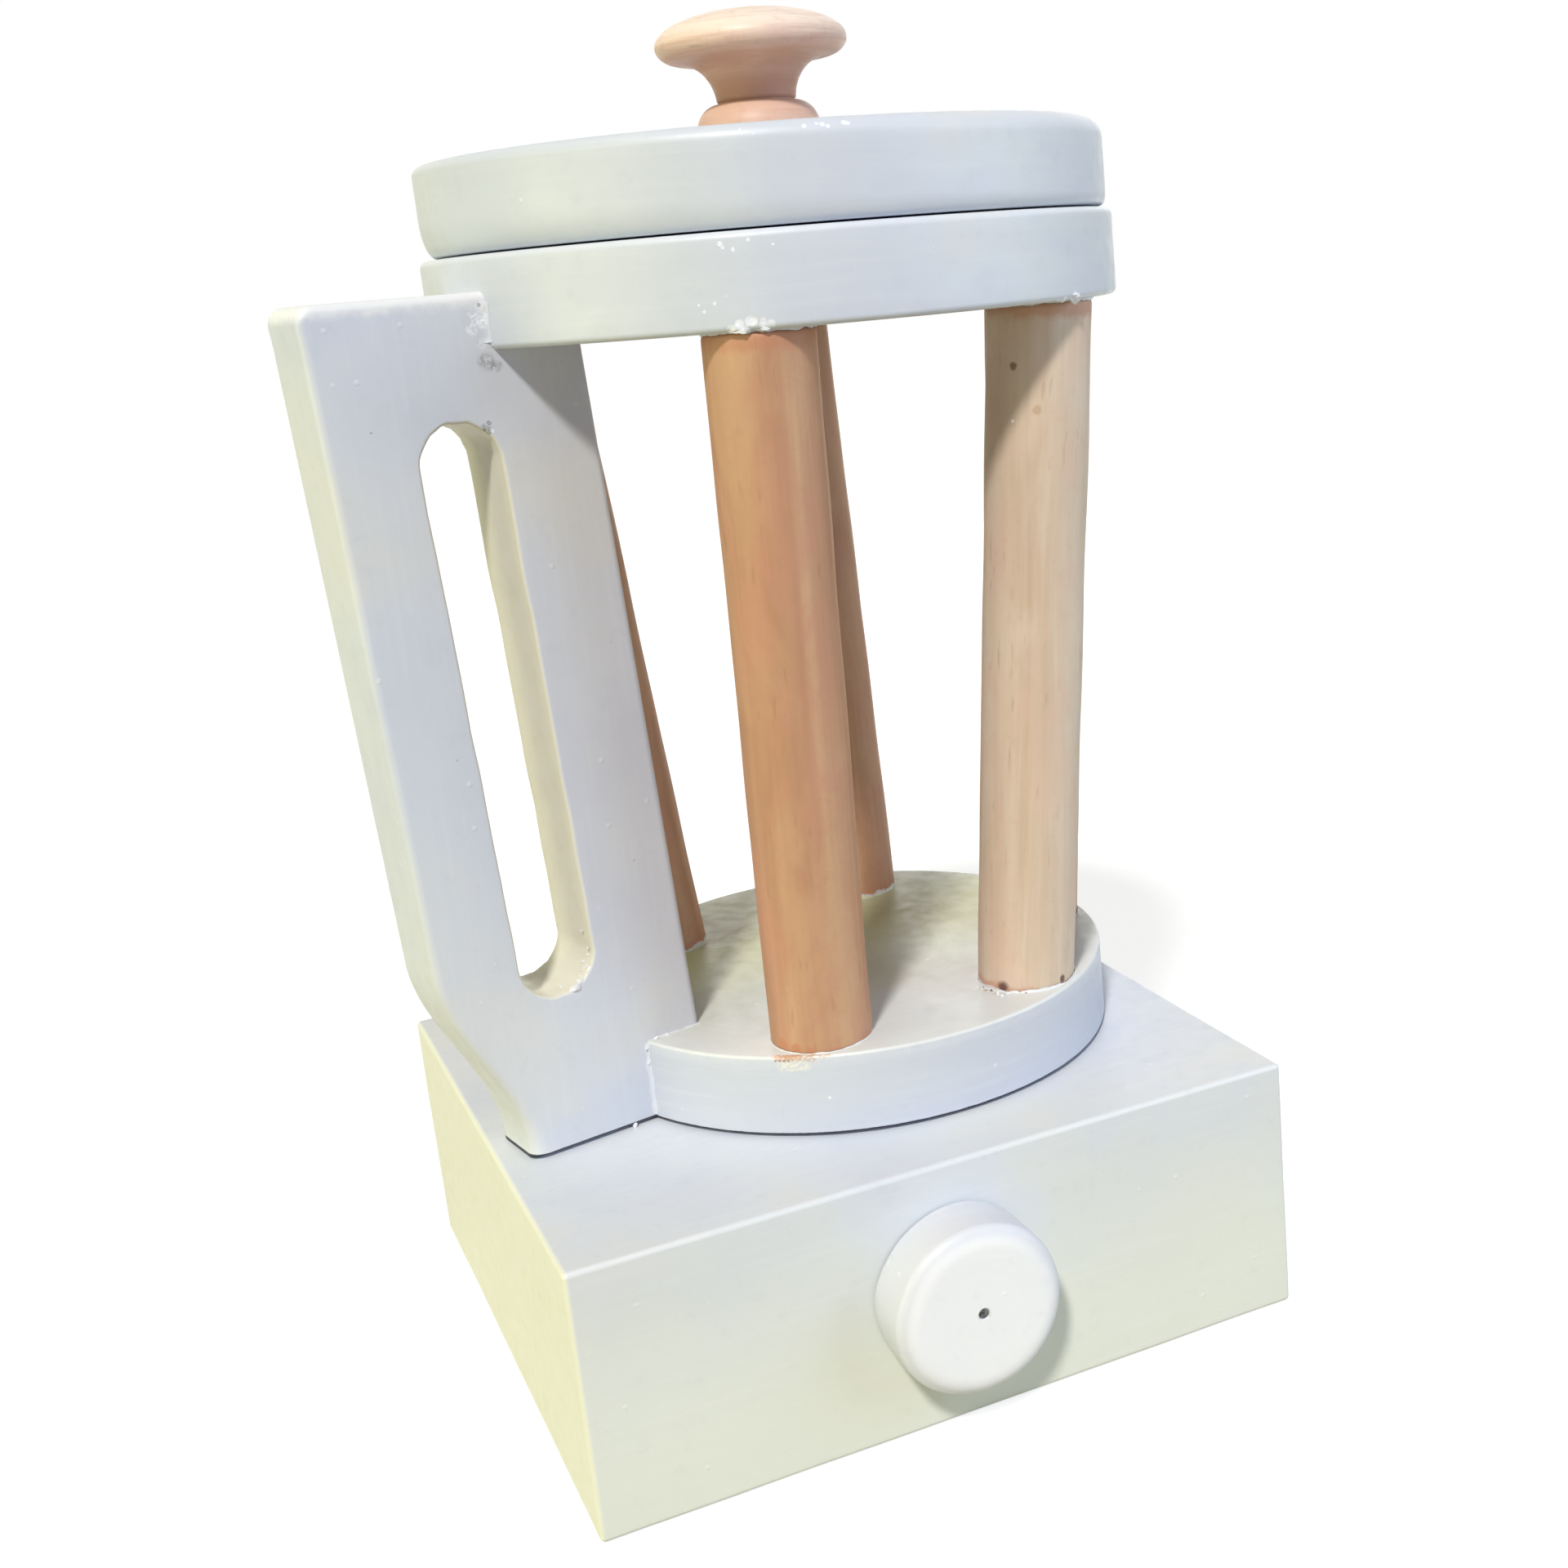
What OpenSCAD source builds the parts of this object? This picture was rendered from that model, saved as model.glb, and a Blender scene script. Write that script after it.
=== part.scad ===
// Toy blender of painted boards and round timber posts, in millimetres.
// A hollow box carries a turning dial. A jug of leaning posts between a floor
// disc and a ring, with a board handle, stands loose on a round peg. A lid
// with a turned knob drops into the ring.
// Origin: middle of the base's underside. The dial faces -Y, and +Z is up.

/* [Base] */
// Width of the base
base_w = 160; // [140:1:220]
// Depth of the base, front to back
base_d = 150; // [132:1:220]
// Height of the base
base_h = 58; // [54:1:90]
// Thickness of the base's boards
board_t = 18; // [12:0.5:20]
// Thickness of the panel let into the underside
panel_t = 6; // [3:0.5:10]

/* [Dial] */
// Radius of the dial
dial_r = 18.5; // [12:0.5:22]
// Length of the dial, front to back
dial_t = 13; // [8:0.5:20]
// Dial's place across the front, from the middle
dial_x = -1.5; // [-25:0.5:25]
// Height of the dial's middle
dial_z = 30.5; // [24:0.5:33]
// Rounding of the dial's front edge
dial_round = 1.2; // [0.4:0.1:3]
// Gap behind the dial that lets it turn
dial_gap = 0.3; // [0.2:0.1:1]

/* [Jug] */
// Jug's place across the base, from the middle
jug_x = 11; // [-20:0.5:20]
// Jug's place along the depth, from the middle
jug_y = 4.5; // [-20:0.5:20]
// Radius of the floor disc
floor_r = 61; // [54:0.5:75]
// Thickness of the floor disc
floor_t = 18; // [14:0.5:24]
// Clear height between the floor disc and the ring
clear_h = 147.5; // [110:0.5:200]
// Outside radius of the ring
ring_r = 74; // [68:0.5:90]
// Thickness of the ring
ring_t = 18; // [14:0.5:24]
// Radius of the ring's mouth
mouth_r = 45; // [36:0.5:50]
// Rounding of the discs' edges
disc_round = 1.5; // [0.5:0.1:3]
// Thin seam where a loose piece rests on another
seam = 0.3; // [0.2:0.05:0.5]

/* [Posts] */
// Diameter of the round posts and of the peg
post_d = 22; // [16:0.5:26]
// Distance from a post's end to the disc's rim
post_inset = 1; // [0.5:0.1:4]
// Turn of the ring over the floor, which the posts follow
ring_turn = 4; // [0:0.5:8]
// Place of the front post round the jug
front_angle = -118; // [-124:1:-112]
// Place of the right front post round the jug
right_front_angle = -55; // [-62:1:-48]
// Place of the right rear post round the jug
right_rear_angle = -5; // [-11:1:2]
// Place of the rear post round the jug
rear_angle = 65; // [58:1:72]
// Place of the left rear post round the jug
left_rear_angle = 135; // [128:1:140]
// Depth of the peg in each of its two sockets
peg_sink = 10; // [6:0.5:11]

/* [Handle] */
// Turn of the handle away from the base's left side
handle_angle = 11; // [0:0.5:20]
// Thickness of the handle board
handle_t = 18; // [12:0.5:22]
// Distance of the board's middle in front of the jug's axis
handle_shift = 4; // [0:0.5:6]
// Reach of the handle's top past the ring
reach_top = 35; // [28:0.5:50]
// Reach of the handle's back past the floor disc
reach_low = 42; // [36:0.5:55]
// Reach of the handle's foot past the floor disc
reach_foot = 27; // [15:0.5:34]
// Height where the handle's back starts to curve in to the foot
curve_top = 46; // [30:0.5:60]
// How far the board goes in under the ring
tuck_top = 20; // [16:0.5:26]
// How far the board goes in over the floor disc
tuck_foot = 15.5; // [12:0.5:20]
// How far the board laps up the ring
ring_lap = 11; // [4:0.5:13]
// Width of the bar behind the finger slot
grip_w = 17.5; // [14:0.5:24]
// Radius of the finger slot's ends
slot_r = 8.2; // [7:0.1:10]
// Height of the slot's lowest point above the foot
slot_low = 34; // [30:0.5:60]
// Wood left above the finger slot
slot_cap = 24; // [14:0.5:40]

/* [Lid] */
// Radius of the lid
lid_r = 73; // [66:0.5:90]
// Thickness of the lid
lid_t = 18; // [14:0.5:24]
// Rounding of the lid's top edge
lid_round = 4.5; // [1:0.5:7]
// Thickness of the plug under the lid
plug_t = 8; // [5:0.5:12]
// Gap all round the plug in the ring's mouth
plug_gap = 0.8; // [0.4:0.1:2]

/* [Knob] */
// Radius of the knob's head
knob_r = 20.4; // [16:0.2:26]
// Height of the knob
knob_h = 27.8; // [26:0.2:40]
// Height of the knob's domed top
dome_h = 6.8; // [4:0.2:8]
// Radius of the knob's neck
neck_r = 8.5; // [6:0.1:10]
// Radius of the bead at the knob's foot
bead_r = 13.2; // [11:0.1:16]
// Height of the bead
bead_h = 8.9; // [6:0.1:10]

/* [Fasteners] */
// Radius of the wood screws' shanks
screw_r = 1.75; // [1.5:0.05:2.2]
// Radius of the wood screws' heads
screw_head_r = 3.5; // [3:0.1:4]
// Depth of the wood screws in the posts and the handle
screw_bite = 16; // [10:0.5:20]
// Radius of the box's nails
nail_r = 0.9; // [0.6:0.05:1.2]
// Length of the box's nails
nail_len = 40; // [30:1:45]
// Radius of the nail that the dial turns on
pivot_r = 0.7; // [0.5:0.05:1]
// Radius of that nail's head
pivot_head_r = 1.15; // [1.15:0.05:1.8]

/* [Hidden] */

PAINT = "#d3dae6";
DIAL_WHITE = "#f2f3f4";
TAN = "#c99a72";
PALE = "#d9bb98";
BARE = "#c8b08c";
ZINC = "#9c9c98";

$fn = 96;
SMALL_FN = 32;
FIT = 0.05;             // round a fastener in its hole
RUN = 0.06;             // round a peg or a pivot that turns
CUT = 1;                // how far a cut runs past a face
NAIL_SET = 1.5;         // how far the box's nails are punched below the faces
TOP_NAIL_Y = 15;        // nails down into the sides, from the middle
RECESS_DEPTH = 1.4;     // cross recess of a screw head
RECESS_T = 0.9;
PIVOT_HEAD_T = 0.8;
PIVOT_SINK = 0.4;       // pivot head below the dial's face
PIVOT_END = 4;          // wood left behind the pivot's tip
LID_LOW_ROUND = 2.5;
HANDLE_CORNER = 3;
FOOT_CORNER = 1;        // straight height of the handle's foot
LIP_W = 4.4;            // rounded lip of the knob's head
LIP_H = 3.4;
BEAD_FLAT = 3.5;        // height where the bead is widest
BEAD_EDGE = 0.8;
KNOB_BITE = 14;         // depth of the knob's screw in the knob
PLUG_BITE = 10;         // depth of the plug's screws in the lid
PLUG_SCREW_R = 30;      // place of the plug's screws

post_r = post_d / 2;
foot_pitch = floor_r - post_inset - post_r;
top_pitch = ring_r - post_inset - post_r;
ring_z = floor_t + clear_h;                 // ring's underside, above the jug's
jug_z = base_h + seam;                      // jug's underside
lid_z = jug_z + ring_z + ring_t + seam;     // lid's underside
wall_h = base_h - board_t;
handle_top = ring_z + ring_lap;
handle_screw_top = ring_r - 0.6 * tuck_top;
handle_screw_foot = floor_r - 0.5 * tuck_foot;
post_angles = [front_angle, right_front_angle, right_rear_angle, rear_angle, left_rear_angle];

// ---------- shared shapes ----------

function polar(r, a) = [r * cos(a), r * sin(a)];
function arc(c, rx, ry, from, to, n = 10) =
    [for (i = [0:n]) let (a = from + (to - from) * i / n) [c.x + rx * cos(a), c.y + ry * sin(a)]];

module at_jug() { translate([jug_x, jug_y, jug_z]) children(); }
module at_lid() { translate([jug_x, jug_y, lid_z]) children(); }

module box_of(size, at) { translate([at.x - size.x / 2, at.y - size.y / 2, at.z]) cube(size); }

module hole(r, h) { translate([0, 0, -CUT]) cylinder(h = h + CUT, r = r, $fn = SMALL_FN); }

// A disc with both rims rounded, and a bore if bore is more than 0
module round_disc(r, t, low, high, bore = 0) {
    rotate_extrude() polygon(concat(
        [[bore, 0]],
        arc([r - low, low], low, low, -90, 0, 6),
        arc([r - high, t - high], high, high, 0, 90, 6),
        [[bore, t]]));
}

// A countersunk screw that points up, with its head's face at z = 0
module wood_screw(length) {
    difference() {
        union() {
            cylinder(h = screw_head_r - screw_r, r1 = screw_head_r, r2 = screw_r, $fn = SMALL_FN);
            cylinder(h = length - screw_r, r = screw_r, $fn = SMALL_FN);
            translate([0, 0, length - screw_r])
                cylinder(h = screw_r, r1 = screw_r, r2 = screw_r / 4, $fn = SMALL_FN);
        }
        for (turn = [0, 90]) rotate(turn)
            box_of([1.4 * screw_head_r, RECESS_T, RECESS_DEPTH + CUT], [0, 0, -CUT]);
    }
}

// The hole for such a screw, with room round it
module screw_hole(length) {
    wide = screw_head_r + FIT;
    thin = screw_r + FIT;
    translate([0, 0, -CUT]) cylinder(h = CUT, r = wide, $fn = SMALL_FN);
    cylinder(h = wide - thin, r1 = wide, r2 = thin, $fn = SMALL_FN);
    cylinder(h = length + FIT, r = thin, $fn = SMALL_FN);
}

// ---------- base ----------

side_x = (base_w - board_t) / 2;
wall_y = (base_d - board_t) / 2;
top_nail_spots = [
    for (x = [-side_x, side_x], y = [-TOP_NAIL_Y, TOP_NAIL_Y]) [x, y],
    for (x = [-base_w / 4, base_w / 4], y = [-wall_y, wall_y]) [x, y]];
corner_nail_spots = [for (x = [-side_x, side_x], z = [wall_h / 4, wall_h * 3 / 4]) [x, z]];

module top_nail_set(r, room) {
    for (spot = top_nail_spots)
        translate([spot.x, spot.y, base_h - NAIL_SET - nail_len - room])
            cylinder(h = nail_len + 2 * room, r = r, $fn = SMALL_FN);
}

module corner_nail_set(r, room) {
    for (spot = corner_nail_spots, side = [0, 180]) rotate(side)
        translate([spot.x, NAIL_SET - base_d / 2 - room, spot.y]) rotate([-90, 0, 0])
            cylinder(h = nail_len + 2 * room, r = r, $fn = SMALL_FN);
}

module wall_board(size, at) {
    difference() {
        box_of(size, at);
        top_nail_set(nail_r + FIT, FIT);
        corner_nail_set(nail_r + FIT, FIT);
    }
}

module base_top() {
    color(PAINT) difference() {
        box_of([base_w, base_d, board_t], [0, 0, wall_h]);
        top_nail_set(nail_r + FIT, FIT);
        translate([jug_x, jug_y, base_h - peg_sink - FIT])
            cylinder(h = peg_sink + FIT + CUT, r = post_r + RUN);
    }
}

module base_front() {
    color(PAINT) difference() {
        wall_board([base_w, board_t, wall_h], [0, -wall_y, 0]);
        translate([dial_x, -base_d / 2, dial_z]) rotate([-90, 0, 0])
            hole(pivot_r + FIT, board_t - PIVOT_END + FIT);
    }
}

module base_back() { color(PAINT) wall_board([base_w, board_t, wall_h], [0, wall_y, 0]); }
module base_left() { color(PAINT) wall_board([board_t, base_d - 2 * board_t, wall_h], [-side_x, 0, 0]); }
module base_right() { color(PAINT) wall_board([board_t, base_d - 2 * board_t, wall_h], [side_x, 0, 0]); }

module base_panel() {
    color(BARE) box_of([base_w - 2 * board_t, base_d - 2 * board_t, panel_t], [0, 0, 0]);
}

module corner_nails() { color(ZINC) corner_nail_set(nail_r, 0); }
module top_nails() { color(ZINC) top_nail_set(nail_r, 0); }

// ---------- dial ----------

dial_face = base_d / 2 + dial_gap + dial_t;     // distance of the dial's front from the middle

module dial_nail() {
    tip = board_t - PIVOT_END;
    head_y = -dial_face + PIVOT_SINK;
    color(ZINC) translate([dial_x, head_y, dial_z]) rotate([-90, 0, 0]) {
        cylinder(h = PIVOT_HEAD_T, r = pivot_head_r, $fn = SMALL_FN);
        cylinder(h = tip - base_d / 2 - head_y, r = pivot_r, $fn = SMALL_FN);
    }
}

module dial() {
    bore = pivot_r + RUN;
    sink_r = pivot_head_r + RUN;
    sink_z = dial_t - PIVOT_SINK - PIVOT_HEAD_T - FIT;
    color(DIAL_WHITE) translate([dial_x, -base_d / 2 - dial_gap, dial_z]) rotate([90, 0, 0])
        rotate_extrude() polygon(concat(
            [[bore, 0], [dial_r, 0]],
            arc([dial_r - dial_round, dial_t - dial_round], dial_round, dial_round, 0, 90, 6),
            [[sink_r, dial_t], [sink_r, sink_z], [bore, sink_z]]));
}

// ---------- jug ----------

module jug_peg() {
    color(BARE) translate([jug_x, jug_y, base_h - peg_sink])
        cylinder(h = 2 * peg_sink + seam - FIT, r = post_r);
}

// Screw places under the floor and over the ring: one for each post and one for the handle
module floor_screw_spots() {
    for (a = post_angles) translate(concat(polar(foot_pitch, a), [0])) children();
    rotate(180 + handle_angle) translate([handle_screw_foot, handle_shift, 0]) children();
}

module ring_screw_spots() {
    for (a = post_angles)
        translate(concat(polar(top_pitch, a + ring_turn), [ring_z + ring_t])) children();
    rotate(180 + handle_angle)
        translate([handle_screw_top, handle_shift, ring_z + ring_t]) children();
}

module floor_screw_holes() { floor_screw_spots() screw_hole(floor_t + screw_bite); }
module ring_screw_holes() { ring_screw_spots() rotate([180, 0, 0]) screw_hole(ring_t + screw_bite); }

module floor_screws() { color(ZINC) at_jug() floor_screw_spots() wood_screw(floor_t + screw_bite); }
module ring_screws() {
    color(ZINC) at_jug() ring_screw_spots() rotate([180, 0, 0]) wood_screw(ring_t + screw_bite);
}

module jug_floor() {
    color(PAINT) at_jug() difference() {
        round_disc(floor_r, floor_t, disc_round, disc_round);
        translate([0, 0, -CUT]) cylinder(h = peg_sink + CUT, r = post_r + RUN);
        floor_screw_holes();
    }
}

module jug_ring() {
    color(PAINT) at_jug() difference() {
        translate([0, 0, ring_z]) round_disc(ring_r, ring_t, disc_round, disc_round, mouth_r);
        ring_screw_holes();
    }
}

// A round post that leans from its place on the floor to its place under the ring
module post(angle) {
    foot = polar(foot_pitch, angle);
    top = polar(top_pitch, angle + ring_turn);
    step = top - foot;
    lean = atan2(norm(step), clear_h);
    way = atan2(step.y, step.x);
    color(angle == right_front_angle ? PALE : TAN) at_jug() difference() {
        intersection() {
            translate([foot.x, foot.y, floor_t]) rotate([0, lean, way]) rotate(-way)
                translate([0, 0, -post_r])
                    cylinder(h = norm([step.x, step.y, clear_h]) + 2 * post_r, r = post_r);
            box_of([4 * post_d, 4 * post_d, clear_h], [foot.x, foot.y, floor_t]);
        }
        translate([foot.x, foot.y, floor_t]) hole(screw_r + FIT, screw_bite + FIT);
        translate([top.x, top.y, ring_z]) rotate([180, 0, 0]) hole(screw_r + FIT, screw_bite + FIT);
    }
}

module post_front() { post(front_angle); }
module post_right_front() { post(right_front_angle); }
module post_right_rear() { post(right_rear_angle); }
module post_rear() { post(rear_angle); }
module post_left_rear() { post(left_rear_angle); }

// ---------- handle ----------

// Distance of the handle's back edge from the jug's axis at height z
back_low = floor_r + reach_low;
back_top = ring_r + reach_top;
back_foot = floor_r + reach_foot;
back_slope = (back_top - back_low) / (handle_top - curve_top);
function back_at(z) = back_low + (z - curve_top) * back_slope;
// The back curves in to the foot along half a wave
function foot_curve(z) = let (u = (z - FOOT_CORNER) / (curve_top - FOOT_CORNER))
    back_foot + (back_low - back_foot) * (1 - cos(180 * u)) / 2;

slot_top_z = handle_top - slot_cap - slot_r;
slot_low_z = slot_low + slot_r;
function slot_at(z) = [back_at(z) - grip_w - slot_r, z];

module handle_outline() {
    curve_steps = 12;
    polygon(concat(
        [[floor_r - tuck_foot, 0], [back_foot, 0]],
        [for (i = [0:curve_steps]) let (z = FOOT_CORNER + (curve_top - FOOT_CORNER) * i / curve_steps)
            [foot_curve(z), z]],
        arc([back_top - HANDLE_CORNER, handle_top - HANDLE_CORNER], HANDLE_CORNER, HANDLE_CORNER,
            0, 90, 5),
        [[ring_r - tuck_top, handle_top]]));
}

// The slot's two round ends are joined by straight sides that touch both
module finger_slot() {
    low = slot_at(slot_low_z);
    high = slot_at(slot_top_z);
    span = high - low;
    tilt = atan2(span.x, span.y);
    polygon(concat(
        arc(low, slot_r, slot_r, 180 - tilt, 360 - tilt, SMALL_FN / 2),
        arc(high, slot_r, slot_r, -tilt, 180 - tilt, SMALL_FN / 2)));
}

module handle() {
    color(PAINT) at_jug() difference() {
        rotate(180 + handle_angle) translate([0, handle_shift + handle_t / 2, 0]) rotate([90, 0, 0])
            linear_extrude(handle_t) difference() {
                handle_outline();
                finger_slot();
            }
        translate([0, 0, -CUT]) cylinder(h = floor_t + CUT, r = floor_r + FIT);
        translate([0, 0, ring_z]) cylinder(h = ring_t + CUT, r = ring_r + FIT);
        floor_screw_holes();
        ring_screw_holes();
    }
}

// ---------- lid ----------

module plug_screw_spots() {
    for (a = [60, 180, 300]) translate(concat(polar(PLUG_SCREW_R, a), [-plug_t])) children();
}

module knob_screw_hole() { translate([0, 0, -plug_t]) screw_hole(plug_t + lid_t + KNOB_BITE); }
module plug_screw_holes() { plug_screw_spots() screw_hole(plug_t + PLUG_BITE); }

module lid() {
    color(PAINT) at_lid() difference() {
        round_disc(lid_r, lid_t, LID_LOW_ROUND, lid_round);
        knob_screw_hole();
        plug_screw_holes();
    }
}

module lid_plug() {
    color(PAINT) at_lid() difference() {
        translate([0, 0, -plug_t]) round_disc(mouth_r - plug_gap, plug_t, disc_round, 0.1);
        knob_screw_hole();
        plug_screw_holes();
    }
}

// Turned knob: a bead, a neck, a cove and a domed head
module knob() {
    rim_z = knob_h - dome_h;
    color(TAN) at_lid() difference() {
        translate([0, 0, lid_t]) rotate_extrude() polygon(concat(
            [[0, 0], [bead_r - BEAD_EDGE, 0]],
            arc([neck_r, BEAD_FLAT], bead_r - neck_r, bead_h - BEAD_FLAT, 0, 90, 8),
            arc([knob_r - LIP_W, bead_h], neck_r - knob_r + LIP_W, rim_z - LIP_H - bead_h, 0, 90, 10),
            arc([knob_r - LIP_W, rim_z], LIP_W, LIP_H, -80, 0, 6),
            arc([0, rim_z], knob_r, dome_h, 6, 90, 14)));
        knob_screw_hole();
    }
}

module knob_screw() {
    color(ZINC) at_lid() translate([0, 0, -plug_t]) wood_screw(plug_t + lid_t + KNOB_BITE);
}

module plug_screws() { color(ZINC) at_lid() plug_screw_spots() wood_screw(plug_t + PLUG_BITE); }

// ---------- one sub-part at a time, or all ----------

base_top();
base_front();
base_back();
base_left();
base_right();
base_panel();
corner_nails();
top_nails();
dial_nail();
dial();
jug_peg();
jug_floor();
post_front();
post_right_front();
post_right_rear();
post_rear();
post_left_rear();
jug_ring();
handle();
floor_screws();
ring_screws();
lid();
lid_plug();
knob();
knob_screw();
plug_screws();
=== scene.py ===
"""Looks of the toy blender: painted boards, bare timber posts and a turned knob.

Everything is in metres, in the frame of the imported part: the origin is the middle of the
base's underside, the dial faces -Y, and +Z is up.
"""

from itertools import accumulate, pairwise, product
from math import atan2, copysign, cos, degrees, dist, hypot, pi, radians, sin, sqrt
from random import Random

import bmesh
import bpy
from mathutils import Euler, Matrix, Vector, noise


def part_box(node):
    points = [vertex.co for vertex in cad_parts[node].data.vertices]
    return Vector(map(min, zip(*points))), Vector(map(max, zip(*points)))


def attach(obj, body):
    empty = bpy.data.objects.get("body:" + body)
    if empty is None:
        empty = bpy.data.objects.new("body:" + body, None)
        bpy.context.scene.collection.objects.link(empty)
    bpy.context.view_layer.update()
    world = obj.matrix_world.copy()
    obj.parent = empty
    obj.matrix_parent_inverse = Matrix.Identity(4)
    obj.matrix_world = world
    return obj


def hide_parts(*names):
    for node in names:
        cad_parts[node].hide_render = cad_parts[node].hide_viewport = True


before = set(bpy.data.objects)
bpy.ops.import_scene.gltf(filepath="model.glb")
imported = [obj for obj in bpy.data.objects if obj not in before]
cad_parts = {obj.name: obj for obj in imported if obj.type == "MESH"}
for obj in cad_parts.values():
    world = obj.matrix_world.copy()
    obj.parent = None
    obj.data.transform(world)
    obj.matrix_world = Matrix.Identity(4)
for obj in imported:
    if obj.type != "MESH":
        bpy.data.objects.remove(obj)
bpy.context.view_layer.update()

MM = 0.001

# ---------- places taken from the frame ----------


def box(node):
    low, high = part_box(node)
    return Vector(low), Vector(high)


def disc(node):
    """The height of a level round piece's underside, its radius and its thickness."""
    low, high = box(node)
    return low.z, (high.x - low.x) / 2, high.z - low.z


BASE_LOW = box("base_front")[0]
BASE_HIGH = box("base_top")[1]
BASE_HIGH.y = box("base_back")[1].y
JUG_Z, FLOOR_R, FLOOR_T = disc("jug_floor")
JUG_AT = sum(box("jug_floor"), Vector()) / 2  # the middle of the jug's underside
JUG_AT.z = JUG_Z
RING_LOW, RING_R, RING_T = disc("jug_ring")
RING_Z = RING_LOW - JUG_Z  # the ring's underside above the jug's
LID_LOW, LID_R, LID_T = disc("lid")
PLUG_LOW, PLUG_R, PLUG_T = disc("lid_plug")
KNOB_LOW, KNOB_R, KNOB_H = disc("knob")
PEG_LOW, PEG_R, PEG_H = disc("jug_peg")
PEG_RISE = PEG_LOW + PEG_H - JUG_Z  # how far the peg reaches into the jug's floor
HANDLE_TOP = box("handle")[1].z - JUG_Z
DIAL_LOW, DIAL_HIGH = box("dial")
DIAL_R = (DIAL_HIGH.x - DIAL_LOW.x) / 2
DIAL_T = DIAL_HIGH.y - DIAL_LOW.y
DIAL_AT = (DIAL_LOW + DIAL_HIGH) / 2  # the middle of the dial's back
DIAL_AT.y = DIAL_HIGH.y

# ---------- sizes that the frame doesn't give ----------

MOUTH_R = 45 * MM
POST_R = 11 * MM
POST_INSET = 1 * MM  # from a post's end to the disc's rim
FOOT_PITCH = FLOOR_R - POST_INSET - POST_R
TOP_PITCH = RING_R - POST_INSET - POST_R
RING_TURN = 4  # degrees by which the ring is turned over the floor
POST_ANGLES = {  # degrees from +X to the post, seen from the jug's axis
    "post_front": -118, "post_right_front": -55, "post_right_rear": -5, "post_rear": 65,
    "post_left_rear": 135}

HANDLE_ANGLE = 191  # degrees from +X to the way that the handle points
HANDLE_FACE = 13 * MM  # the board's front face, in front of the jug's axis
HANDLE_BACK = -5 * MM
BACK_LOW = FLOOR_R + 42 * MM  # the board's back edge above its foot, from the jug's axis
BACK_TOP = RING_R + 35 * MM
BACK_FOOT = FLOOR_R + 27 * MM
CURVE_TOP = 46 * MM  # the heights between which the foot sweeps in
CURVE_FOOT = 1 * MM
TUCK_TOP = 20 * MM  # how far the board reaches under the ring
TUCK_FOOT = 15.5 * MM  # and on to the disc
GRIP_W = 17.5 * MM  # the timber behind the finger slot
SLOT_R = 8.2 * MM
SLOT_LOW = 34 * MM  # the slot's lower end above the jug's underside
SLOT_CAP = 24 * MM  # and its upper end under the board's top

HEAD_CLEAR = 0.15 * MM  # a face lies this far behind the screw heads that are set in it

# ---------- small helpers ----------


def wobble(point, size, amount):
    """A smooth random offset, the same for the same point: size is the bumps' width."""
    return amount * noise.noise(point / size)


def spread(start, end, step):
    """Evenly spaced values from start to end, both included."""
    count = max(1, round(abs(end - start) / step))
    return [start + (end - start) * i / count for i in range(count + 1)]


def arc(centre, rx, ry, start, end, count):
    """Points of an ellipse's arc, with the angles in degrees."""
    turns = map(radians, spread(start, end, abs(end - start) / count))
    return [(centre[0] + rx * cos(t), centre[1] + ry * sin(t)) for t in turns]


def mix(first, second, share):
    return first + (second - first) * share


def on_wall(radius, angle, height):
    """A point out from the Z axis by the radius, at an angle in degrees and a height."""
    return Vector((radius * cos(radians(angle)), radius * sin(radians(angle)), height))


def circle_path(centre, radius, start=0, end=360):
    """Points of a level circle round a centre, or of part of one."""
    turns = spread(start, end, degrees(PATH_STEP / radius))
    points = [centre + on_wall(radius, turn, 0.0) for turn in turns]
    return points[:-1] if end - start == 360 else points


# ---------- runs of paint ----------

PATH_STEP = 0.6 * MM  # from one point of a run of paint to the next
LUMP = 2.6 * MM  # the length of the lumps in a run of paint
SINK = 0.06 * MM  # how far a fillet's edges lie under the faces that it joins


def skin(rings, sides, closed):
    """The faces of a tube of equal rings of vertices, with ends unless it is closed."""
    faces = []
    for k in range(rings if closed else rings - 1):
        a, b = k * sides, (k + 1) % rings * sides
        for side in range(sides):
            m = (side + 1) % sides
            faces.append([a + side, a + m, b + m, b + side])
    if not closed:
        faces.append(list(range(sides))[::-1])
        faces.append(list(range((rings - 1) * sides, rings * sides)))
    return faces


def bead(path, width, sides=8):
    """A lumpy run of paint along a path, as (vertices, faces, paleness) of a closed tube."""
    verts, count = [], len(path)
    for k, point in enumerate(path):
        along = (path[min(k + 1, count - 1)] - path[max(k - 1, 0)]).normalized()
        across = along.cross(Vector((0, 0, 1)) if abs(along.z) < 0.8 else Vector((1, 0, 0)))
        across.normalize()
        third = along.cross(across)
        size = width * max(0.12, 0.55 + wobble(point, LUMP, 0.9))
        size *= min(1.0, (min(k, count - 1 - k) + 0.3) / 3)
        for side in range(sides):
            turn = 2 * pi * side / sides
            way = across * cos(turn) + third * sin(turn)
            rough = 1 + wobble(point + way * width, 0.9 * MM, 0.5)
            verts.append(point + way * size * rough)
    return verts, skin(count, sides, False), 1.0


def crumb(point, size, draw):
    """A small lump of dried paint, turned at random."""
    way = Vector([draw.uniform(-1, 1) for _ in range(3)]).normalized()
    return bead([point + way * (k - 3) * 0.3 * size for k in range(7)], size, 6)


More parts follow.
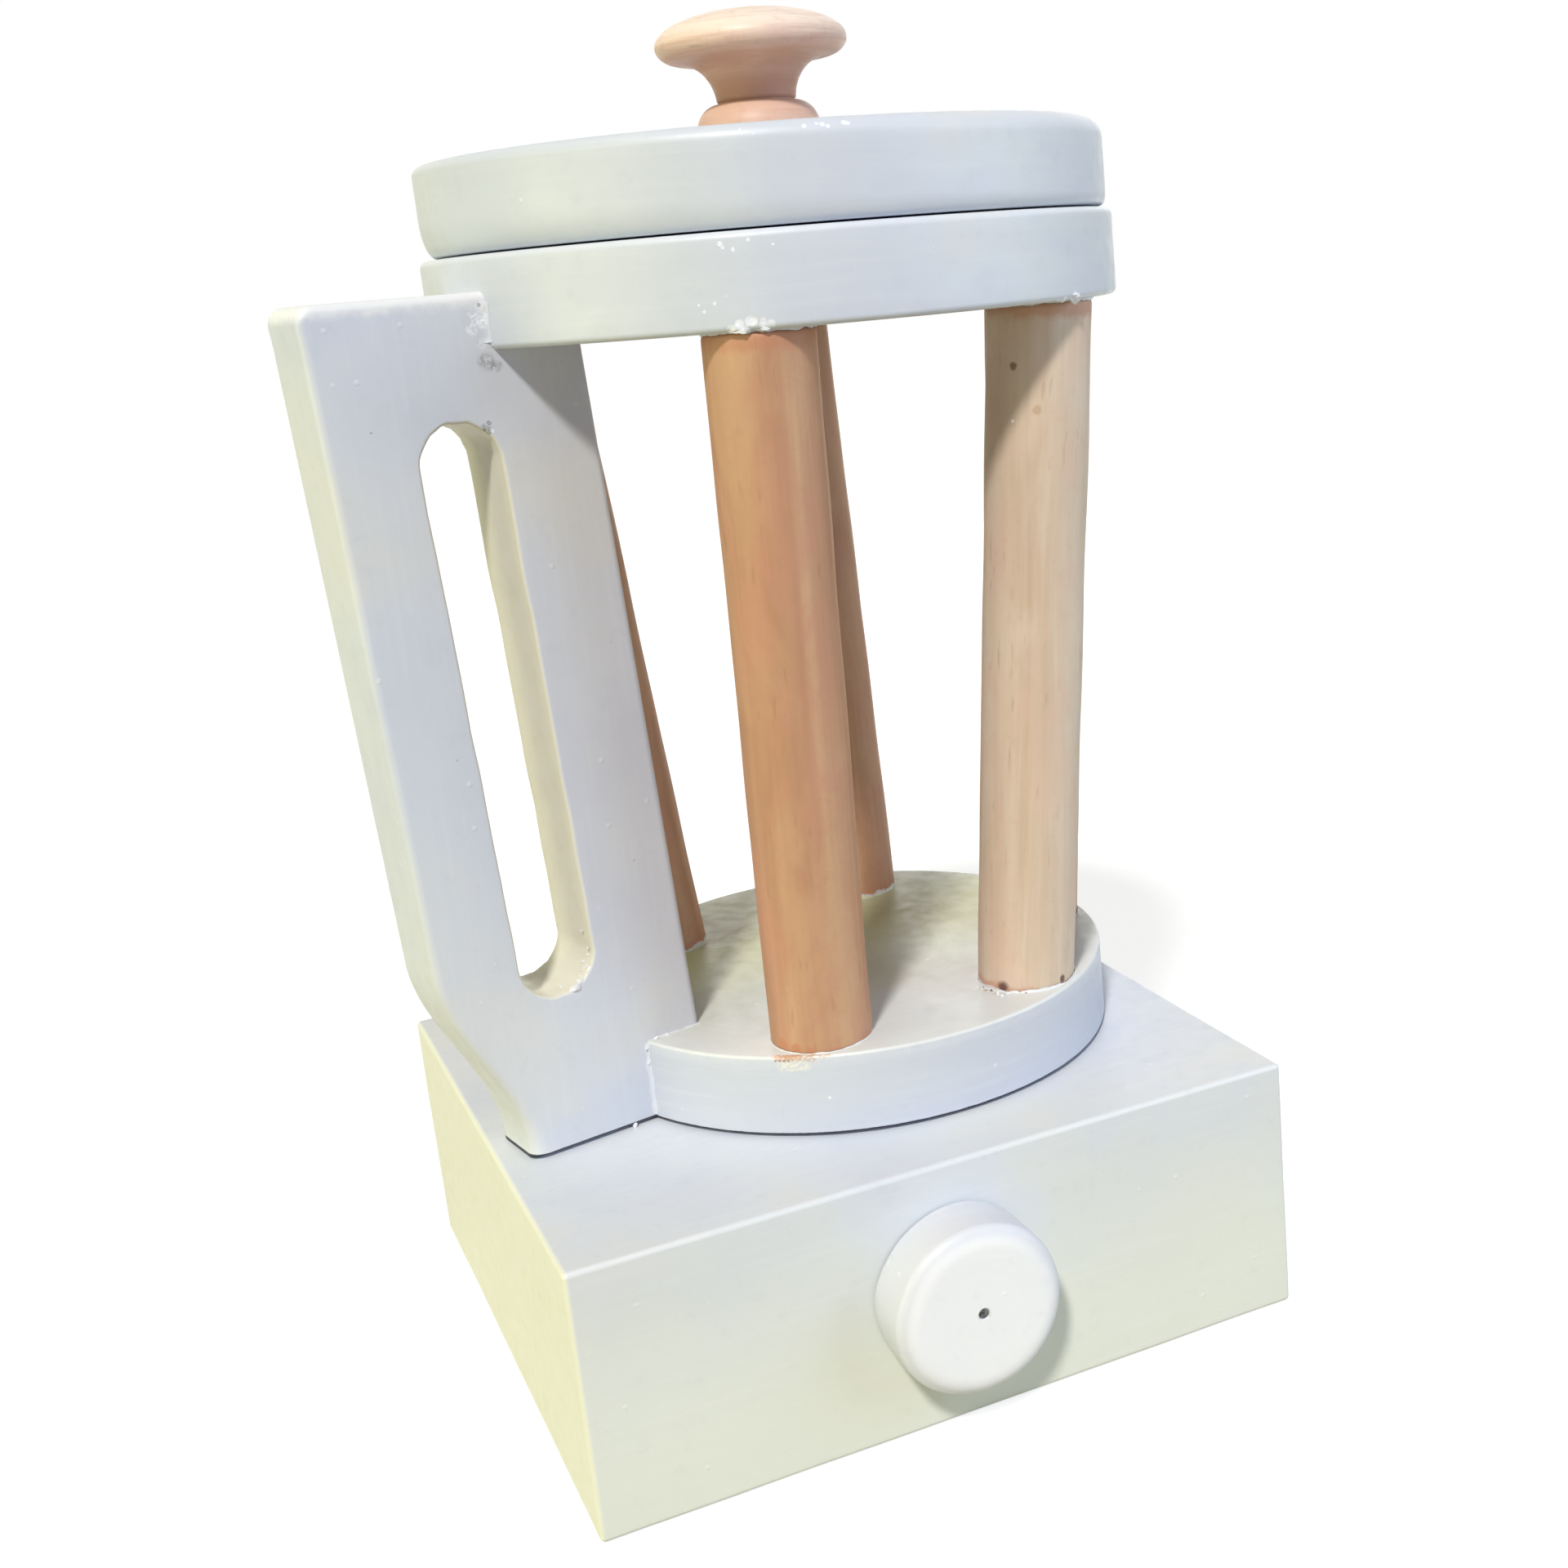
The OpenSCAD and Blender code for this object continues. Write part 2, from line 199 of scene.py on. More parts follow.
def fillet(stations, low, high, share=1.0, pale=0.3, closed=False):
    """Paint drawn into an inner corner, as (vertices, faces, paleness).

    A station is a point of the corner, and the ways from it along the two faces that meet
    there. The paint reaches between low and high on to the first face, and a share of that
    on to the other, and is hollow between.
    """
    verts, steps = [], 5
    for corner, one, other in stations:
        reach = []
        for seed in (0.0, 40.0):
            place = corner + Vector((seed, 0, 0)) * MM
            part = 0.5 + wobble(place, LUMP, 0.9) + wobble(place, 0.8 * MM, 0.45)
            reach.append(mix(low, high, min(max(part, 0.0), 1.0)))
        first = corner + one * reach[0] - other * SINK
        last = corner + other * reach[1] * share - one * SINK
        for t in spread(0, 1, 1 / steps):
            verts.append(first * (1 - t) ** 2 + corner * (2 * t * (1 - t)) + last * t ** 2)
        verts.append(corner - (one + other) * 0.3 * MM)
    return verts, skin(len(stations), steps + 2, closed), pale


def round_end(pitch, angle, height, up):
    """Stations round a post's end, on a face that looks up (1) or down (-1)."""
    centre = on_wall(pitch, angle, height)
    return [(point, Vector((0, 0, up)), (point - centre).normalized())
            for point in circle_path(centre, POST_R)]


def merge(verts, faces, runs):
    """Adds runs of paint to a piece's mesh, and says how pale each added vertex is."""
    pale = []
    for more_verts, more_faces, value in runs:
        start = len(verts)
        verts.extend(more_verts)
        faces.extend([start + i for i in face] for face in more_faces)
        pale += [value] * len(more_verts)
    return pale


# ---------- pieces ----------


def linked(name, data, **settings):
    """A new object of the scene with this mesh, light or camera, and its settings."""
    for key, value in settings.items():
        setattr(data, key, value)
    made = bpy.data.objects.new(name, data)
    bpy.context.scene.collection.objects.link(made)
    return made


def make_object(name, verts, faces, place=Matrix()):
    """A smooth-shaded object from vertices in its own frame, set at place."""
    mesh = bpy.data.meshes.new(name)
    mesh.from_pydata([tuple(v) for v in verts], [], faces)
    mesh.validate()
    bm = bmesh.new()
    bm.from_mesh(mesh)
    bmesh.ops.recalc_face_normals(bm, faces=bm.faces)
    bm.to_mesh(mesh)
    bm.free()
    mesh.shade_smooth()
    mesh.set_sharp_from_angle(angle=radians(42))
    piece = linked(name, mesh)
    piece.matrix_world = place
    return piece


def give(piece, flows, edges, painted_bounce=()):
    """Stores each vertex's stroke coordinates, how far it is on an edge, where the paint is pale
    with built-up paint and a painted highlight, and its share of painted warm bounce light.
    """
    made = piece.data.attributes.new("flow", "FLOAT_VECTOR", "POINT")
    made.data.foreach_set("vector", [c for v in flows for c in v])
    for name, values in (("edge", edges), ("painted_bounce", painted_bounce)):
        if values:
            piece.data.attributes.new(name, "FLOAT", "POINT").data.foreach_set("value", values)


def settle(piece, body, nodes, material):
    """The piece stands for its CAD nodes, and moves with their body."""
    piece.data.materials.clear()
    piece.data.materials.append(material)
    bpy.context.view_layer.update()
    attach(piece, body)
    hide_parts(*nodes)


# ---------- shader helpers ----------


class Nodes:
    """A node tree under construction. Sockets or plain values go in, sockets come out."""

    def __init__(self, tree):
        self.tree = tree

    def node(self, kind, sockets=(), **settings):
        made = self.tree.nodes.new(kind)
        for key, value in settings.items():
            setattr(made, key, value)
        for key, value in dict(sockets).items():
            self.put(made.inputs[key], value)
        return made

    def put(self, socket, value):
        if isinstance(value, bpy.types.NodeSocket):
            self.tree.links.new(value, socket)
        else:
            socket.default_value = value

    def maths(self, kind, *values):
        made = self.node("ShaderNodeMath", enumerate(values), operation=kind)
        return made.outputs[0]

    def times(self, product, *factors):
        for factor in factors:
            product = self.maths("MULTIPLY", product, factor)
        return product

    def total(self, *parts):
        """The sum of values, each with its weight."""
        made = 0.0
        for value, weight in parts:
            made = self.maths("MULTIPLY_ADD", value, weight, made)
        return made

    def blend(self, fac, first, second):
        """A mix of two colours. The Mix node's sockets for colours are 6, 7 and 2."""
        made = self.node("ShaderNodeMix", {0: fac, 6: first, 7: second}, data_type="RGBA")
        return made.outputs[2]


class Shader(Nodes):
    """A node material under construction, with the colour that it has so far."""

    def __init__(self, name):
        self.material = bpy.data.materials.new(name)
        self.material.use_nodes = True
        super().__init__(self.material.node_tree)

    def place(self, stretch=(1, 1, 1), shift=(0, 0, 0), vector=None):
        """Object coordinates in metres, or a vector, stretched and shifted."""
        vector = vector or self.node("ShaderNodeTexCoord").outputs["Object"]
        sockets = {"Vector": vector, "Scale": stretch, "Location": shift}
        return self.node("ShaderNodeMapping", sockets).outputs["Vector"]

    def stored(self, name, output="Fac"):
        """What the mesh holds under this name."""
        return self.node("ShaderNodeAttribute", attribute_name=name).outputs[output]

    def axis(self, vector, name):
        return self.node("ShaderNodeSeparateXYZ", {0: vector}).outputs[name]

    def noise(self, vector, scale, detail=3.0, rough=0.5, lumpy=0.0):
        """Noise around 0.5, with about scale bumps to the metre."""
        sockets = {"Vector": vector, "Scale": scale, "Detail": detail, "Roughness": rough,
                   "Distortion": lumpy}
        return self.node("ShaderNodeTexNoise", sockets).outputs["Fac"]

    def between(self, value, low, high, out_low=0.0, out_high=1.0):
        """value from low..high to out_low..out_high, eased and held at the ends."""
        sockets = enumerate((value, low, high, out_low, out_high))
        made = self.node("ShaderNodeMapRange", sockets, interpolation_type="SMOOTHSTEP")
        return made.outputs["Result"]

    def scattered(self, vector, scale, radii, channel, chances):
        """1 at scattered points and 0 beyond the radii. The chances pick some of the points."""
        cells = self.node("ShaderNodeTexVoronoi", {"Vector": vector, "Scale": scale}).outputs
        chance = self.node("ShaderNodeSeparateColor", {0: cells["Color"]}).outputs[channel]
        return self.times(self.between(cells["Distance"], *radii, 1.0, 0.0),
                          self.between(chance, *chances))

    def spot(self, vector, centre, radius, soft=0.5, lumpy=0.35):
        """1 inside a small ragged spot round a point of the piece, 0 outside."""
        far = self.node("ShaderNodeVectorMath", {0: vector, 1: centre}, operation="DISTANCE")
        ragged = self.noise(vector, 0.6 / radius)
        reach = self.total((far.outputs["Value"], 1), (ragged, lumpy * radius * 2),
                           (-lumpy, radius))
        return self.between(reach, radius * (1 - soft), radius, 1.0, 0.0)

    def ramp(self, fac, places, tones):
        """Starts the colour, with each of the tones at its place between 0 and 1."""
        made = self.node("ShaderNodeValToRGB", {"Fac": fac})
        elements = made.color_ramp.elements
        while len(elements) < len(places):
            elements.new(0.5)
        for element, place, tone in zip(elements, places, tones):
            element.position = place
            element.color = tone
        self.colour = made.outputs["Color"]

    def tint(self, fac, tone):
        """Turns the colour to a tone, where and as far as fac says."""
        self.colour = self.blend(fac, self.colour, tone)

    def bump(self, height, distance, strength, **normal):
        sockets = {"Height": height, "Distance": distance, "Strength": strength, **normal}
        return self.node("ShaderNodeBump", sockets).outputs["Normal"]

    def done(self, sockets):
        """The material, with its surface's sockets set."""
        for name, value in sockets.items():
            self.put(self.tree.nodes["Principled BSDF"].inputs[name], value)
        return self.material


def rgb(*levels):
    """An sRGB colour in 0..255 as the linear colour that a shader takes."""
    shares = [level / 255 for level in levels]
    return *(v / 12.92 if v <= 0.04045 else ((v + 0.055) / 1.055) ** 2.4 for v in shares), 1.0


# ---------- materials ----------

PAINT = rgb(203, 209, 222), rgb(209, 215, 224), rgb(214, 217, 218)  # cool to warm
PAINT_PALE = rgb(234, 236, 238)
CHIP_DARK = rgb(98, 98, 100)
WHITE, BRIGHT = rgb(240, 244, 254), rgb(250, 250, 250)
# the painted shadow along the joint where a piece stands on the base
SEAM_SHADOW = rgb(24, 27, 38)
STROKES = (30, 620, 620)  # bumps to the metre along and across the brush's strokes
BROKEN_BELOW = 0.75  # a flaw that is weaker than this is broken up into fine specks


def run_of(turns, height, radius, tone, strength):
    """Flaws side by side on the disc's wall, over turns (start, end) from the front post."""
    return [(on_wall(FLOOR_R - 0.2 * MM, POST_ANGLES["post_front"] + turn, FLOOR_T + height * MM),
             radius * MM, tone, strength) for turn in spread(*turns, 0.9)]


def paint(name, tones=PAINT, pale=PAINT_PALE, zones=(), flaws=(), seam=None, painted_bounce=None):
    """Satin brushed paint.

    zones are (axis, start, end, colour, ragged): the paint turns to that colour from start to
    end along the axis; some zones paint light and shade. flaws are (point, radius, colour,
    strength) of chips, pinholes and smears, and some are painted highlights and painted shade.
    Up to the height seam lies a painted shadow along the joint where the piece stands on the
    base, but not on the underside. The last argument is the colour of painted warm bounce light.
    """
    look = Shader(name)
    place = look.place()
    ragged = look.noise(place, 420, 4.0, 0.7)
    look.ramp(look.noise(place, 19, 4.0, 0.55), (0.34, 0.5, 0.66), tones)
    for axis, start, end, tone, rag in zones:
        level = look.total((look.axis(place, axis), 1), (ragged, rag), (-0.5, rag))
        look.tint(look.between(level, start, end), tone)
    if painted_bounce:
        look.tint(look.stored("painted_bounce"), painted_bounce)

    flow = look.place(STROKES, vector=look.stored("flow", "Vector"))
    strokes = look.noise(flow, 1.0, 5.0, 0.6)
    look.tint(look.between(strokes, 0.45, 0.78, 0.0, 0.14), pale)
    mottle = look.noise(place, 260, 5.0, 0.65)
    look.tint(look.between(mottle, 0.54, 0.78, 0.0, 0.05), CHIP_DARK)
    nibs = look.scattered(place, 210, (0.07, 0.15), 0, (0.80, 0.86))
    look.tint(look.times(nibs, 0.35), pale)
    pits = look.scattered(look.place(shift=(3.1, 1.7, 0.9)), 150, (0.03, 0.07), 1, (0.95, 0.97))
    look.tint(look.times(pits, 0.22), CHIP_DARK)
    # the stored edge value pales rims and runs of paint: built-up paint, and on rims a painted
    # highlight
    edge = look.stored("edge")
    look.tint(look.times(edge, look.between(ragged, 0.3, 0.6, 0.35, 0.8)), pale)

    sunk = pits
    broken = look.between(look.noise(place, 1500, 3.0, 0.6), 0.36, 0.58)
    for point, radius, tone, strength in flaws:
        there = look.times(look.spot(place, point, radius), strength)
        if strength < BROKEN_BELOW:
            there = look.times(there, broken)
        look.tint(there, tone)
        sunk = look.total((sunk, 1), (there, 0.6))
    # a painted shadow line up to the seam's height, along the joint with the base
    if seam:
        height = look.total((look.axis(place, "Z"), 1), (ragged, 0.25 * MM))
        low = look.between(height, seam + 0.08 * MM, seam + 0.2 * MM, 1.0, 0.0)
        upward = look.axis(look.node("ShaderNodeNewGeometry").outputs["Normal"], "Z")
        look.tint(look.times(low, look.maths("SUBTRACT", 1.0, edge),
                             look.between(upward, -0.95, -0.7)), SEAM_SHADOW)

    rolling = look.bump(look.noise(place, 55, 2.0), 0.35 * MM, 0.35)
    relief = look.total((strokes, 0.35), (mottle, 0.25), (nibs, 0.9), (sunk, -1.2))
    gloss = look.total((look.between(mottle, 0.3, 0.75, 0.34, 0.52), 1), (edge, -0.14))
    return look.done({"Base Color": look.colour, "Roughness": gloss,
                      "Normal": look.bump(relief, 0.12 * MM, 0.55, Normal=rolling)})


# the tones of a timber: dark, middle, light, and the blush that drifts through it
TAN = rgb(178, 131, 101), rgb(190, 144, 112), rgb(205, 165, 129), rgb(196, 141, 115)
PALE = rgb(198, 172, 147), rgb(214, 195, 174), rgb(225, 209, 190), rgb(216, 188, 168)
PINK = rgb(182, 138, 116), rgb(212, 172, 150), rgb(232, 204, 184), rgb(212, 160, 142)
BARE = rgb(168, 136, 98), rgb(194, 164, 126), rgb(212, 186, 150), rgb(196, 158, 124)
FLECK = rgb(132, 92, 64)
SORE = rgb(190, 130, 100)  # the reddish end grain that shows where the paint meets the timber
STAIN_RAGGED = 3.6 * MM


def wood(name, tones, seed=0.0, along="Z", spots=(), ends=None, zones=(), gloss=0.0, grain=0.16):
    """Sanded bare timber with its grain along the piece's axis or axes in along.

    spots are (point, radius, colour), and ends are the heights (low, high) of the joints
    where the timber is stained and a little paint has crept on to it. zones are (start, end,
    colour): the timber turns to that colour from start to end up the piece. grain is how far
    the fibres darken it.
    """
    dark, middle, light, blush = tones
    look = Shader(name)

    def drawn(share, scale, *kind, shift=(seed, seed * 1.7, seed * 0.6)):
        """Noise that is drawn out along the grain: its bumps are fewer there by the share."""
        stretch = [share if axis in along else 1 for axis in "XYZ"]
        return look.noise(look.place(stretch, shift), scale, *kind)

    place = look.place()
    level = look.axis(place, "Z")
    bands = drawn(0.06, 150, 5.0, 0.55, 0.4)
    look.ramp(bands, (0.30, 0.52, 0.74), (dark, middle, light))
    broad = drawn(0.4, 75, 3.0, 0.55, 0.6)
    look.tint(look.between(broad, 0.42, 0.66, 0.0, 0.45), light)
    flush = drawn(0.45, 95, 3.0, 0.55, 0.6, shift=(seed + 7, 3, 2))
    look.tint(look.between(flush, 0.46, 0.66, 0.0, 0.6), blush)
    for start, end, tone in zones:
        look.tint(look.between(level, start, end, 0.0, 0.7), tone)

    fibres = drawn(0.04, 1000, 4.0, 0.7)
    look.tint(look.between(fibres, 0.50, 0.74, 0.0, grain), dark)
    grey = look.noise(place, 340, 5.0, 0.7)
    look.tint(look.between(grey, 0.50, 0.74, 0.0, 0.24), dark)
    pores = drawn(0.14, 800, 2.0, 0.4, shift=(seed + 4, 2, 1))
    sparse = look.noise(look.place(shift=(seed, 5, 3)), 110, 2.0)
    pores = look.times(look.between(pores, 0.62, 0.70), look.between(sparse, 0.48, 0.62))
    look.tint(look.times(pores, 0.2), FLECK)

    if ends:
        foot, top = ends
        ragged = look.noise(place, 300, 4.0, 0.65)
        above = look.total((level, 1), (ragged, -STAIN_RAGGED))
        look.tint(look.between(above, foot - 1.6 * MM, foot + 0.2 * MM, 0.6, 0.0), SORE)
        look.tint(look.between(above, foot - 2.0 * MM, foot - 1.7 * MM, 0.8, 0.0), PAINT_PALE)
        below = look.total((level, 1), (ragged, STAIN_RAGGED))
        look.tint(look.between(below, top - 1.4 * MM, top + 0.8 * MM, 0.0, 0.6), SORE)
    for point, radius, tone in spots:
        look.tint(look.times(look.spot(place, point, radius, 0.6, 0.5), 0.85), tone)

    relief = look.total((fibres, 1), (bands, 0.6), (pores, -1))
    return look.done({
        "Base Color": look.colour, "Normal": look.bump(relief, 0.08 * MM, 0.35),
        "Roughness": look.between(fibres, 0.3, 0.7, 0.50 - gloss, 0.66 - gloss)})


def steel(name, dark=rgb(120, 120, 118), light=rgb(176, 176, 172)):
    """Plated steel with a slightly cloudy finish."""
    look = Shader(name)
    cloud = look.noise(look.place(), 900, 4.0, 0.6)
    look.ramp(cloud, (0.35, 0.65), (dark, light))
    return look.done({
        "Base Color": look.colour, "Metallic": 1.0,
        "Roughness": look.between(cloud, 0.3, 0.7, 0.28, 0.48),
        "Normal": look.bump(cloud, 0.03 * MM, 0.4)})


# ---------- base ----------

EDGE_ROUND = 1.2 * MM
EDGE_BUILDUP_AND_HIGHLIGHT = 0.15  # how strongly the pale edges show: built-up paint and a painted highlight


def box_lines(low, high, axis):
    """Where the board's grid has its lines along one axis: close at the base's rounded edges."""
    lines = spread(low, high, 9 * MM)
    for edge, way in ((BASE_LOW[axis], 1), (BASE_HIGH[axis], -1)):
        for share in (0.12, 0.3, 0.5, 0.7, 0.88, 1.0):
            line = edge + way * share * EDGE_ROUND
            if low < line < high:
                lines.append(line)
    kept = []
    for line in sorted(lines):
        if not kept or line - kept[-1] > 0.1 * MM:
            kept.append(line)
    return kept


def eased(point):
    """Moves a point of the square-edged base on to the base with rounded, slightly uneven edges."""
    inner = Vector([min(max(value, low + EDGE_ROUND), high - EDGE_ROUND)
                    for value, low, high in zip(point, BASE_LOW, BASE_HIGH)])
    out = point - inner
    longest = max(abs(c) for c in out)
    if longest == 0:
        return point, 0.0
    at_edge = sum(abs(c) > 0.05 * EDGE_ROUND for c in out) > 1
    dent = wobble(point, 26 * MM, 0.16 * MM) - 0.08 * MM
    return inner + out.normalized() * (longest + min(dent, 0)), EDGE_BUILDUP_AND_HIGHLIGHT if at_edge else 0.0


def board(node, along):
    """One board of the box, with the box's outer edges rounded. along is the brushing's axis."""
    low, high = box(node)
    lines = [box_lines(low[axis], high[axis], axis) for axis in range(3)]
    index, verts, faces, edge = {}, [], [], []

    def vertex(*places):
        """The vertex where these lines of the three axes cross."""
        key = tuple(line for axis, line in sorted(places))
        if key not in index:
            index[key] = len(verts)
            point, on_edge = eased(Vector([lines[axis][key[axis]] for axis in range(3)]))
            verts.append(point)
            edge.append(on_edge)
        return index[key]

    for axis in range(3):
        a, b = (axis + 1) % 3, (axis + 2) % 3
        for side in (0, len(lines[axis]) - 1):
            for i, j in product(range(len(lines[a]) - 1), range(len(lines[b]) - 1)):
                faces.append([vertex((axis, side), (a, i + di), (b, j + dj))
                              for di, dj in ((0, 0), (1, 0), (1, 1), (0, 1))])
    piece = make_object(node + "_board", verts, faces)
    order = [along, (along + 1) % 3, (along + 2) % 3]
    give(piece, [[v.co[axis] for axis in order] for v in piece.data.vertices], edge)
    return piece


# ---------- round pieces ----------


RIM_BUILDUP_AND_HIGHLIGHT, RIM_WIDE = 0.6, 1.2 * MM  # how strongly and how far the pale rims show: built-up paint and a painted highlight


def lathe(name, profile, segments, place, uneven, size, edges=(), runs=()):
    """Turns a profile of (radius, height) points round the place's Z axis.

    A radius of 0 at either end closes the form with one vertex. A profile may also be a
    function of the angle. The walls are uneven by that much, in waves of that size. edges are
    (radius, height) of rounded rims, where paint builds up and a painted highlight lies.
    """
    shape = profile if callable(profile) else lambda turn: profile
    verts, faces, flow, rows = [], [], [], []
    along = [0.0, *accumulate(dist(*pair) for pair in pairwise(shape(0.0)))]
    turns = [2 * pi * k / segments for k in range(segments)]
    shapes = [shape(turn) for turn in turns]
    for level, run in enumerate(along):
        row = []
        for turn, points in zip(turns, shapes):
            radius, height = points[level]
            if radius == 0 and row:
                break
            point = Vector((radius * cos(turn), radius * sin(turn), height))
            if radius > 0:
                shift = wobble(point, size, uneven) - uneven / 2
                point.xy *= 1 + shift / radius
            row.append(len(verts))
            verts.append(point)
            flow.append((turn * max(radius, 1 * MM), run, 0.0))
        rows.append(row)
    for first, second in pairwise(rows):
        count = max(len(first), len(second))
        for k in range(count):
            m = (k + 1) % count
            corners = [first[k % len(first)], first[m % len(first)],
                       second[m % len(second)], second[k % len(second)]]
            faces.append(list(dict.fromkeys(corners)))
    buildup_and_highlight = []
    for point in verts:
        near = min([hypot(point.xy.length - r, point.z - z) for r, z in edges], default=1.0)
        buildup_and_highlight.append(RIM_BUILDUP_AND_HIGHLIGHT * max(0.0, 1 - near / RIM_WIDE))
    buildup_and_highlight += merge(verts, faces, runs)
    flow += [tuple(point) for point in verts[len(flow):]]
    piece = make_object(name, verts, faces, place)
    give(piece, flow, buildup_and_highlight)
    return piece


def on_axis(height):
    return Matrix.Translation((JUG_AT.x, JUG_AT.y, height))


def rim(radius, low, high, low_round, high_round, steps=7):
    """A disc's outer wall from its underside to its top, with both rims rounded."""
    middle = spread(low + low_round, high - high_round, 3 * MM)[1:-1]
    return (arc((radius - low_round, low + low_round), low_round, low_round, -90, 0, steps)
            + [(radius, z) for z in middle]
            + arc((radius - high_round, high - high_round), high_round, high_round, 0, 90, steps))


def radial(start, end, height, step=9 * MM):
    """Points of a flat face, from one radius towards another, both left out."""
    return [(r, height) for r in spread(start, end, step)[1:-1]]


def floor_disc():
    socket = PEG_R + 0.06 * MM
    profile = ([(0, PEG_RISE), (socket, PEG_RISE), (socket, HEAD_CLEAR)]
               + radial(socket, FLOOR_R, HEAD_CLEAR)
               + rim(FLOOR_R, HEAD_CLEAR, FLOOR_T, 0.5 * MM, 0.7 * MM)
               + radial(FLOOR_R, 2 * MM, FLOOR_T) + [(0, FLOOR_T)])
    runs = [fillet(round_end(FOOT_PITCH, angle, FLOOR_T, 1), 0.05 * MM,
                   (0.3 if node == "post_front" else 0.7) * MM, closed=True)
            for node, angle in POST_ANGLES.items()]
    beside = on_wall(FOOT_PITCH, POST_ANGLES["post_right_front"], FLOOR_T)
    draw = Random(5)
    for _ in range(9):
        way = on_wall(POST_R + draw.uniform(0.3, 2.2) * MM, draw.uniform(175, 225), 0.1 * MM)
        runs.append(crumb(beside + way, draw.uniform(0.4, 0.9) * MM, draw))
    return lathe("floor_disc", profile, 192, on_axis(JUG_Z), 0.22 * MM, 34 * MM,
                 [(FLOOR_R, FLOOR_T)], runs)


RING_SMEARS = (-118, -110.6), (-63.5, -55.1)  # where paint has run on the ring's lower edge


def ring():
    top = RING_T - HEAD_CLEAR
    inner = 1.2 * MM
    profile = ([(MOUTH_R, RING_T / 2)]
               + arc((MOUTH_R + inner, inner), inner, inner, 180, 270, 6)
               + radial(MOUTH_R, RING_R, 0.0)
               + rim(RING_R, 0.0, top, 1.3 * MM, 1.5 * MM)
               + radial(RING_R, MOUTH_R, top)
               + arc((MOUTH_R + inner, top - inner), inner, inner, 90, 180, 6))
    profile.append(profile[0])
    runs = [fillet(round_end(TOP_PITCH, angle + RING_TURN, 0.0, -1), 0.1 * MM, 0.6 * MM,
                   closed=True) for angle in POST_ANGLES.values()]
    for start, end in RING_SMEARS:
        for inward, height, width in ((0.9, 0.5, 1.3), (0.6, 0.9, 0.9)):
            path = circle_path(Vector((0, 0, height)) * MM, RING_R - inward * MM, start, end)
            runs.append(bead(path, width * MM))
    return lathe("mouth_ring", profile, 216, on_axis(RING_LOW), 0.24 * MM, 40 * MM,
                 [(RING_R, 0.0), (RING_R, top)], runs)


def lid_disc():
    """The lid, sanded by hand: rounder above on one side, and below on the other."""
    def shape(turn):
        share = (1 + cos(turn + radians(20))) / 2
        wide, tall = mix(2.6 * MM, 1.3 * MM, share), mix(7.5 * MM, 2.2 * MM, share)
        above = mix(1.7 * MM, 4.3 * MM, share)
        middle = [(LID_R, mix(tall, LID_T - above, k / 5)) for k in range(1, 5)]
        return ([(0, 0)] + radial(0, LID_R, 0.0)
                + arc((LID_R - wide, tall), wide, tall, -90, 0, 9) + middle
                + arc((LID_R - above, LID_T - above), above, above, 0, 90, 9)
                + radial(LID_R, 2 * MM, LID_T) + [(0, LID_T)])
    return lathe("lid_disc", shape, 216, on_axis(LID_LOW), 0.3 * MM, 45 * MM)


def plug_disc():
    profile = ([(0, HEAD_CLEAR)] + radial(0, PLUG_R, HEAD_CLEAR)
               + rim(PLUG_R, HEAD_CLEAR, PLUG_T, 1.3 * MM, 0.1 * MM)
               + radial(PLUG_R, 2 * MM, PLUG_T) + [(0, PLUG_T)])
    return lathe("plug_disc", profile, 144, on_axis(PLUG_LOW), 0.2 * MM, 30 * MM)


NAIL_SINK = 1.3 * MM  # how deep the dial's nail lies in its hollow


def dial_disc():
    """The dial, softly rounded and slightly out of round, with a hollow for its nail."""
    wide, tall, hole, bore = 4.6 * MM, 2.5 * MM, 1.4 * MM, 0.76 * MM
    sunk = DIAL_T - NAIL_SINK
    profile = ([(bore, 0.0)] + radial(bore, DIAL_R, 0.0, 5 * MM)
               + rim(DIAL_R, 0.0, DIAL_T - tall + 0.1 * MM, 0.5 * MM, 0.1 * MM, 3)[:-3]
               + arc((DIAL_R - wide, DIAL_T - tall), wide, tall, 0, 90, 14)
               + radial(DIAL_R - wide, hole, DIAL_T, 4 * MM)
               + [(hole + 0.2 * MM, DIAL_T), (hole, DIAL_T - 0.2 * MM), (hole, sunk),
                  (bore, sunk), (bore, 0.0)])
    place = Matrix.Translation(DIAL_AT) @ Matrix.Rotation(radians(90), 4, "X")
    return lathe("dial_disc", profile, 160, place, 0.6 * MM, 13 * MM)


